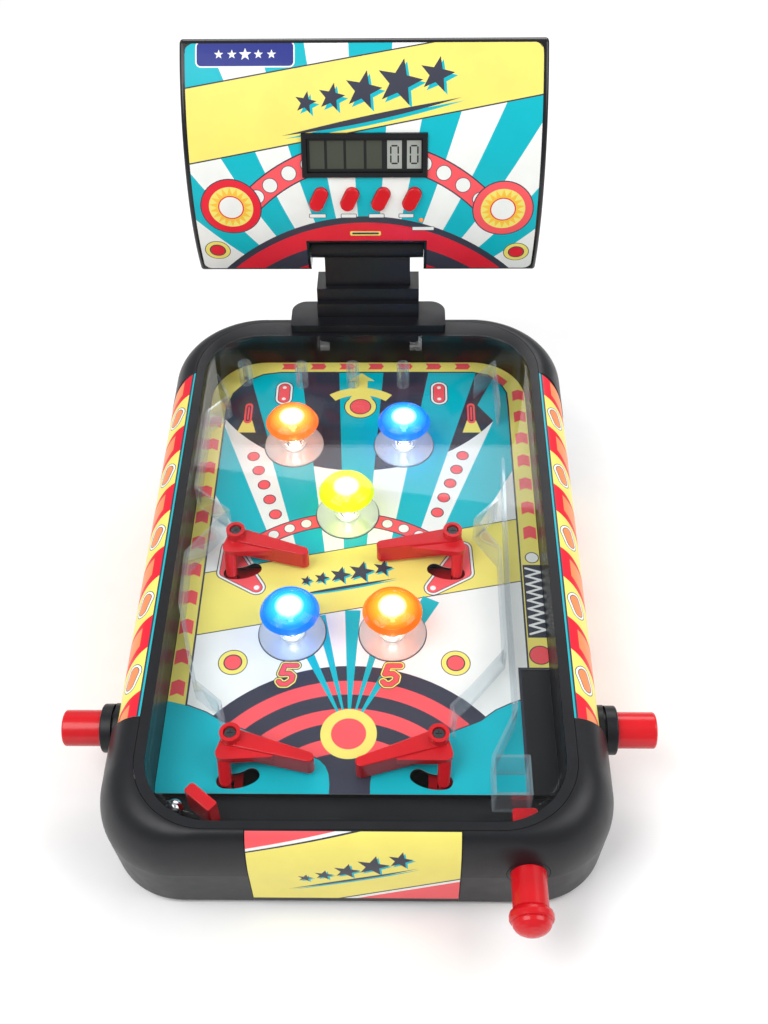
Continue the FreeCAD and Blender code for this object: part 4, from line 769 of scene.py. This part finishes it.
# ---------------------------------------------------------------- the head's sheet
def notched(outline_half, low, high, notch_half, notch_top, corner=6.0):
    """A sheet with round corners and a notch in the middle of its lower edge."""
    right, top, bottom = outline_half - corner, high - corner, low + corner

    def rounding(x, y, start):
        turns = [math.radians(start + 90 * step / 8) for step in range(9)]
        return [(x + corner * math.cos(turn), y + corner * math.sin(turn)) for turn in turns]

    points = rounding(right, top, 0) + rounding(-right, top, 90) + rounding(-right, bottom, 180)
    points += [(-notch_half, low), (-notch_half, notch_top), (notch_half, notch_top), (notch_half, low)]
    return points + rounding(right, bottom, 270)


def bar(left, right, low, high, grow):
    return rounded([(left, low), (right, low), (right, high), (left, high)], grow)


def head_rays(sheet):
    """Teal rays, a dotted arch, the slanting band and the rings round the neck."""
    focus = -146.0
    for start in (-43.2, -29.6, -16.0, -2.4, 11.1, 24.7, 38.3):
        sheet.paint("teal", wedge(0, focus, start, start + 6.8, 60, 420))
    arch_x, arch_y, arch_radius = 1.0, -77.5, 116.7
    for ink, inner, outer in (("slate", 107.6, 125.9), ("coral", 108.6, 124.9)):
        sheet.paint(ink, arc_band(arch_x, arch_y, inner, outer, -56, 56))
    for angle in (-43.5, -36.9, -28.7, -21.0, 21.0, 28.7, 36.9, 45.2):
        turn = math.radians(angle)
        x, y = arch_x + arch_radius * math.sin(turn), arch_y + arch_radius * math.cos(turn)
        sheet.rings(x, y, ("slate", 5.2 + 0.5), ("white", 5.2), count=32)
    sheet.paint("slate", [(-140, 28.8), (140, 80.6), (140, 131.2), (-140, 81.7)])
    sheet.paint("yellow", [(-140, 29.8), (140, 81.6), (140, 130.2), (-140, 80.7)])
    sheet.rings(0, focus, ("slate", 137.0), ("red", 131.5), ("slate", 114.6), ("red", 98.0), ("slate", 88.0),
                count=128)


def roundels(sheet):
    """A large and a small round target at each side."""
    for x, y, rim in ((-99.0, -1.5, "red"), (101.0, -3.5, "coral")):
        sheet.rings(x, y, ("slate", 22.6), (rim, 21.8), ("yellow", 16.3))
        sheet.paint("sun", star(x, y, 16.0, 18, 0.66))
        sheet.rings(x, y, ("red", 9.5), ("white", 8.6))
    for x, y in ((-113.5, -41.5), (113.5, -44.0)):
        sheet.rings(x, y, ("slate", 9.8), ("yellow", 9.2), ("slate", 6.2), ("red", 5.3))


def blanks(sheet):
    """A plain badge with stars, and blank strips by the menu buttons, in place of words."""
    sheet.paint("white", bar(-114.5, -52.5, 101.5, 112.0, 4.0))
    sheet.paint("navy", bar(-114.5, -52.5, 101.5, 112.0, 3.0))
    for count in range(5):
        sheet.paint("white", star(-102.0 + 9.3 * count, 106.6, 3.4 if count != 2 else 4.6))
    for x, y, half in ((-35.5, -8.6, 5.5), (-12.5, -8.6, 5.0), (8.0, -8.6, 5.0), (30.0, -8.6, 4.8),
                       (42.5, -20.0, 7.5)):
        sheet.paint("slate", bar(x - half, x + half, y - 1, y + 1, 0.9))
        sheet.paint("white", bar(x - half, x + half, y - 1, y + 1, 0.4))
    sheet.paint("yellow", bar(-11, 10, -25.5, -23.5, 1.0))
    sheet.paint("slate", bar(-10, 9, -25.0, -24.0, 0.4))


def head():
    margin = 4.0
    low, high = up_head(HEAD_ANGLES[0]) + margin, up_head(HEAD_ANGLES[1]) - margin
    notch = HEAD_RADIUS * math.asin((NOTCH_TOP - HEAD_CENTRE[1]) / HEAD_RADIUS)
    sheet = Sheet(notched(126.0, low, high, NOTCH_HALF, notch), "white")
    head_rays(sheet)
    roundels(sheet)
    star_flourish(sheet, 5.0, 79.0, 16.0, 0.20)
    blanks(sheet)
    middle, half_w, half_h = up_head(DISPLAY_ANGLE), 45.3, 15.8
    sheet.cut([(-half_w, middle - half_h), (half_w, middle - half_h), (half_w, middle + half_h),
               (-half_w, middle + half_h)])
    for index in range(4):
        sheet.cut(capsule(MENU_PITCH * (index - 1.5), up_head(MENU_ANGLE), 5.5, 9.8, -MENU_TILT))
    sheet.cut(circle(LAMP_X, up_head(LAMP_ANGLE), 1.8, 20))
    bends = [low + (high - low) * step / 44 for step in range(1, 44)]
    piece = sheet.mesh("head_print", head_face, 0.5, across=bends)
    smooth(piece)
    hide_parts("head_label")
    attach(piece, "head")


head()


# ---------------------------------------------------------------- the display's face
def seven_segment(x, y, width, height, lit):
    """Segments of one digit as bars with pointed ends."""
    t = width * 0.17
    hx, hy = width / 2 - t / 2, height / 2 - t / 2
    runs = {
        "a": ((-hx, hy), (hx, hy)),
        "b": ((hx, hy), (hx, 0)),
        "c": ((hx, 0), (hx, -hy)),
        "d": ((-hx, -hy), (hx, -hy)),
        "e": ((-hx, 0), (-hx, -hy)),
        "f": ((-hx, hy), (-hx, 0)),
    }
    shapes = []
    for name in lit:
        (ax, ay), (bx, by) = runs[name]
        length = math.hypot(bx - ax, by - ay)
        dx, dy = (bx - ax) / length, (by - ay) / length
        nx, ny = -dy * t / 2, dx * t / 2
        ax, ay, bx, by = ax + dx * t * 0.25, ay + dy * t * 0.25, bx - dx * t * 0.25, by - dy * t * 0.25
        shapes.append([(x + ax, y + ay), (x + ax + dx * t / 2 + nx, y + ay + dy * t / 2 + ny),
                       (x + bx - dx * t / 2 + nx, y + by - dy * t / 2 + ny), (x + bx, y + by),
                       (x + bx - dx * t / 2 - nx, y + by - dy * t / 2 - ny),
                       (x + ax + dx * t / 2 - nx, y + ay + dy * t / 2 - ny)])
    return shapes


def display():
    angle = math.radians(DISPLAY_ANGLE)
    base = head_face(0, up_head(DISPLAY_ANGLE), 0)
    up = Vector((0, math.sin(angle), math.cos(angle)))
    out = Vector((0, -math.cos(angle), math.sin(angle)))

    def place(x, y, depth):
        return base + (Vector((1, 0, 0)) * x + up * y + out * (-1.0 - depth)) / 1000

    half_w, half_h = 41.2, 11.9
    sheet = Sheet([(-half_w, -half_h), (half_w, -half_h), (half_w, half_h), (-half_w, half_h)], "lcd_ink")
    for left, right in ((-39.4, -28.9), (-26.9, -15.1), (-13.2, -0.6), (1.4, 12.3)):
        sheet.paint("lcd_dark", [(left, -9.6), (right, -9.6), (right, 10.2), (left, 10.2)])
    for left, right in ((16.2, 26.7), (30.4, 40.6)):
        sheet.paint("lcd_light", [(left, -9.6), (right, -9.6), (right, 10.2), (left, 10.2)])
        sheet.paint("lcd_ink", *seven_segment((left + right) / 2, 0.3, 6.4, 13.5, "abcdef"))
    piece = sheet.mesh("display_face", place, 0.15)
    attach(piece, "head")


display()


def status_lamp():
    """The small orange lamp under the last button."""
    middle = up_head(LAMP_ANGLE)
    rings = [(1.45, 1.6), (1.45, -0.2), (1.1, -0.8), (0.45, -1.1)]
    points, faces, count = [], [], 16
    for radius, depth in rings:
        for step in range(count):
            turn = 2 * math.pi * step / count
            x, up = LAMP_X + radius * math.cos(turn), middle + radius * math.sin(turn)
            points.append(head_face(x, up, depth))
    for ring in range(len(rings) - 1):
        for step in range(count):
            after = (step + 1) % count
            here, above = ring * count, (ring + 1) * count
            faces.append([here + step, here + after, above + after, above + step])
    faces.append([(len(rings) - 1) * count + step for step in range(count)])
    data = bpy.data.meshes.new("status_lamp")
    data.from_pydata([tuple(point) for point in points], [], faces)
    data.materials.append(LED)
    piece = bpy.data.objects.new("status_lamp", data)
    bpy.context.scene.collection.objects.link(piece)
    smooth(piece, 50.0)
    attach(piece, "head")


status_lamp()


# ---------------------------------------------------------------- printed side panels
def red_wave(v):
    lead, tail, low = v + 28.0, v + 52.0, -140.0
    return [(lead, 5.0), (tail, 5.0), (tail - 10, -10), (tail - 22, -26), (tail - 26, -48), (tail - 20, -72),
            (tail - 6, -100), (tail, low), (lead - 2, low), (lead - 10, -100), (lead - 27, -72),
            (lead - 34, -48), (lead - 26, -26), (lead - 12, -10)]


def orange_wave(v):
    lead, tail = v + 33.0, v + 50.0
    return [(lead - 9, -9), (tail - 12, -9), (tail - 23, -27), (tail - 27, -48), (tail - 22, -70),
            (lead - 27, -70), (lead - 33, -48), (lead - 27, -27)]


def bead(sheet, v, up, half_length, tilt):
    """An orange capsule with slate and white rims."""
    for ink, half_width, shrink in (("slate", 5.9, 0.0), ("white", 5.4, 0.5), ("slate", 3.9, 2.0),
                                    ("orange", 3.4, 2.5)):
        sheet.paint(ink, capsule(v, up, half_width, half_length - shrink, -math.radians(tilt)))


def side_outline():
    """The panel's outline, with a round bay for the boss of the button."""
    front, rear, rear_low = 68.3, 371.7, 347.8
    floor_cut = 5.2
    curve_end = 33.5
    boss_v, boss_up, boss_radius, boss_start = 82.4, -48.3, 16.2, math.radians(150.5)

    def drop(v):
        """How far down the curve the panel's bottom edge is at v."""
        w = (floor_cut - DECK_HEIGHT - v * math.sin(SLOPE)) / math.cos(SLOPE)
        (_, low), _ = shoulder(*SIDE_SHOULDER, 60.0)
        return -(60.0 - low - w)

    outline = [(front, -0.4), (front, boss_up + boss_radius * math.sin(boss_start))]
    for step in range(12):
        angle = boss_start * (1 - step / 11)
        outline.append((boss_v + boss_radius * math.cos(angle), boss_up + boss_radius * math.sin(angle)))
    outline.append((boss_v + boss_radius, drop(boss_v + boss_radius)))
    return outline + [(rear_low, drop(rear_low)), (rear_low, -curve_end), (rear, -0.4)]


def side_panel(side):
    name = "right" if side > 0 else "left"
    sheet = Sheet(side_outline(), "yellow")
    pitch = 57.3
    for count in range(-2, 8):
        v = 97.0 + pitch * count
        sheet.paint("red", red_wave(v))
        sheet.paint("orange", orange_wave(v))
        bead(sheet, v, -11.0, 10.4, 72)
        bead(sheet, v - 18, -58.0, 12.4, 30)
    sheet.paint("slate", [(0, -1.5), (500, -1.5), (500, -2.7), (0, -2.7)])
    sheet.paint("teal", [(0, 5), (500, 5), (500, -1.5), (0, -1.5)])
    bends = [-1.7 * step for step in range(1, 21)]
    piece = sheet.mesh(name + "_side_print", side_face(side), 1.2, across=bends)
    smooth(piece)
    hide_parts(name + "_side_panel")
    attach(piece, "housing")


for which in (-1, 1):
    side_panel(which)


# ---------------------------------------------------------------- front label
def front_label():
    half, low = 61.6, -70.0
    sheet = Sheet([(-half, -1.2), (-half, low), (half, low), (half, -1.2)], "yellow")
    sheet.paint("slate", [(-70, -17.3), (20, 2.2), (-70, 10)])
    sheet.paint("white", [(-70, -16.2), (20, 3.3), (-70, 10)])
    sheet.paint("coral", [(-70, -14.2), (20, 5.3), (-70, 10)])
    sheet.paint("slate", [(-12, -70.5), (70, -38), (70, -90), (-20, -90)])
    sheet.paint("white", [(-8.5, -70.5), (70, -39.4), (70, -90), (-20, -90)])
    sheet.paint("coral", [(-0.5, -70.5), (70, -42.2), (70, -90), (-20, -90)])
    star_flourish(sheet, -1.0, -34.0, 9.6, 0.36)
    bends = [-1.2 - 2.0 * step for step in range(1, 25)]
    piece = sheet.mesh("front_print", lambda x, y, depth: front_face(x, y, depth - 0.2), 0.25, across=bends)
    smooth(piece)
    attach(piece, "housing")


front_label()


# ---------------------------------------------------------------- floor, light and camera
def floor():
    data = bpy.data.meshes.new("floor")
    size = 6.0
    corners = [(-size, -size, 0), (size, -size, 0), (size, size, 0), (-size, size, 0)]
    data.from_pydata(corners, [], [(0, 1, 2, 3)])
    piece = bpy.data.objects.new("floor", data)
    bpy.context.scene.collection.objects.link(piece)
    data.materials.append(plastic("pale_floor", (0.90, 0.90, 0.90), rough=0.7, vary=0.01, grain=0.0))


def area_light(name, place, target, size, power):
    data = bpy.data.lights.new(name, "AREA")
    data.shape = "RECTANGLE"
    data.size, data.size_y = size
    data.energy = power
    light = bpy.data.objects.new(name, data)
    light.location = place
    light.rotation_euler = (Vector(target) - Vector(place)).to_track_quat("-Z", "Y").to_euler()
    bpy.context.scene.collection.objects.link(light)


def world():
    sky = bpy.data.worlds.new("studio")
    sky.use_nodes = True
    sky.node_tree.nodes["Background"].inputs["Color"].default_value = (1, 1, 1, 1)
    sky.node_tree.nodes["Background"].inputs["Strength"].default_value = 0.52
    bpy.context.scene.world = sky
    bpy.context.scene.view_settings.view_transform = "Standard"


def camera():
    """Looks down at the front: its place is in deck millimetres, and its angles are from the deck."""
    pitch, yaw, roll = (math.radians(value) for value in (49.595, 1.4733, -1.0454))
    right = Vector((1, 0, 0))
    up = Vector((0, math.sin(pitch), math.cos(pitch)))
    back = Vector((0, -math.cos(pitch), math.sin(pitch)))
    turn = Matrix.Rotation(yaw, 3, "Z")
    right, up, back = turn @ right, turn @ up, turn @ back
    right, up = (right * math.cos(roll) + up * math.sin(roll), up * math.cos(roll) - right * math.sin(roll))
    tilt = Matrix.Rotation(SLOPE, 3, "X")
    data = bpy.data.cameras.new("camera")
    data.lens = 42.55
    data.sensor_width = 36.0
    data.dof.use_dof = False
    piece = bpy.data.objects.new("camera", data)
    columns = Matrix((tilt @ right, tilt @ up, tilt @ back)).transposed()
    piece.matrix_world = Matrix.Translation(deck(28.71, -312.40, 639.04)) @ columns.to_4x4()
    bpy.context.scene.collection.objects.link(piece)
    bpy.context.scene.camera = piece


floor()
area_light("key", (-0.9, -0.7, 1.5), (0, 0, 0.1), (1.2, 1.2), 22)
area_light("fill", (1.2, -0.3, 1.2), (0, 0, 0.1), (1.0, 1.0), 12)
area_light("rear", (0.2, 1.4, 1.4), (0, 0.1, 0.15), (1.4, 0.8), 14)
world()
camera()
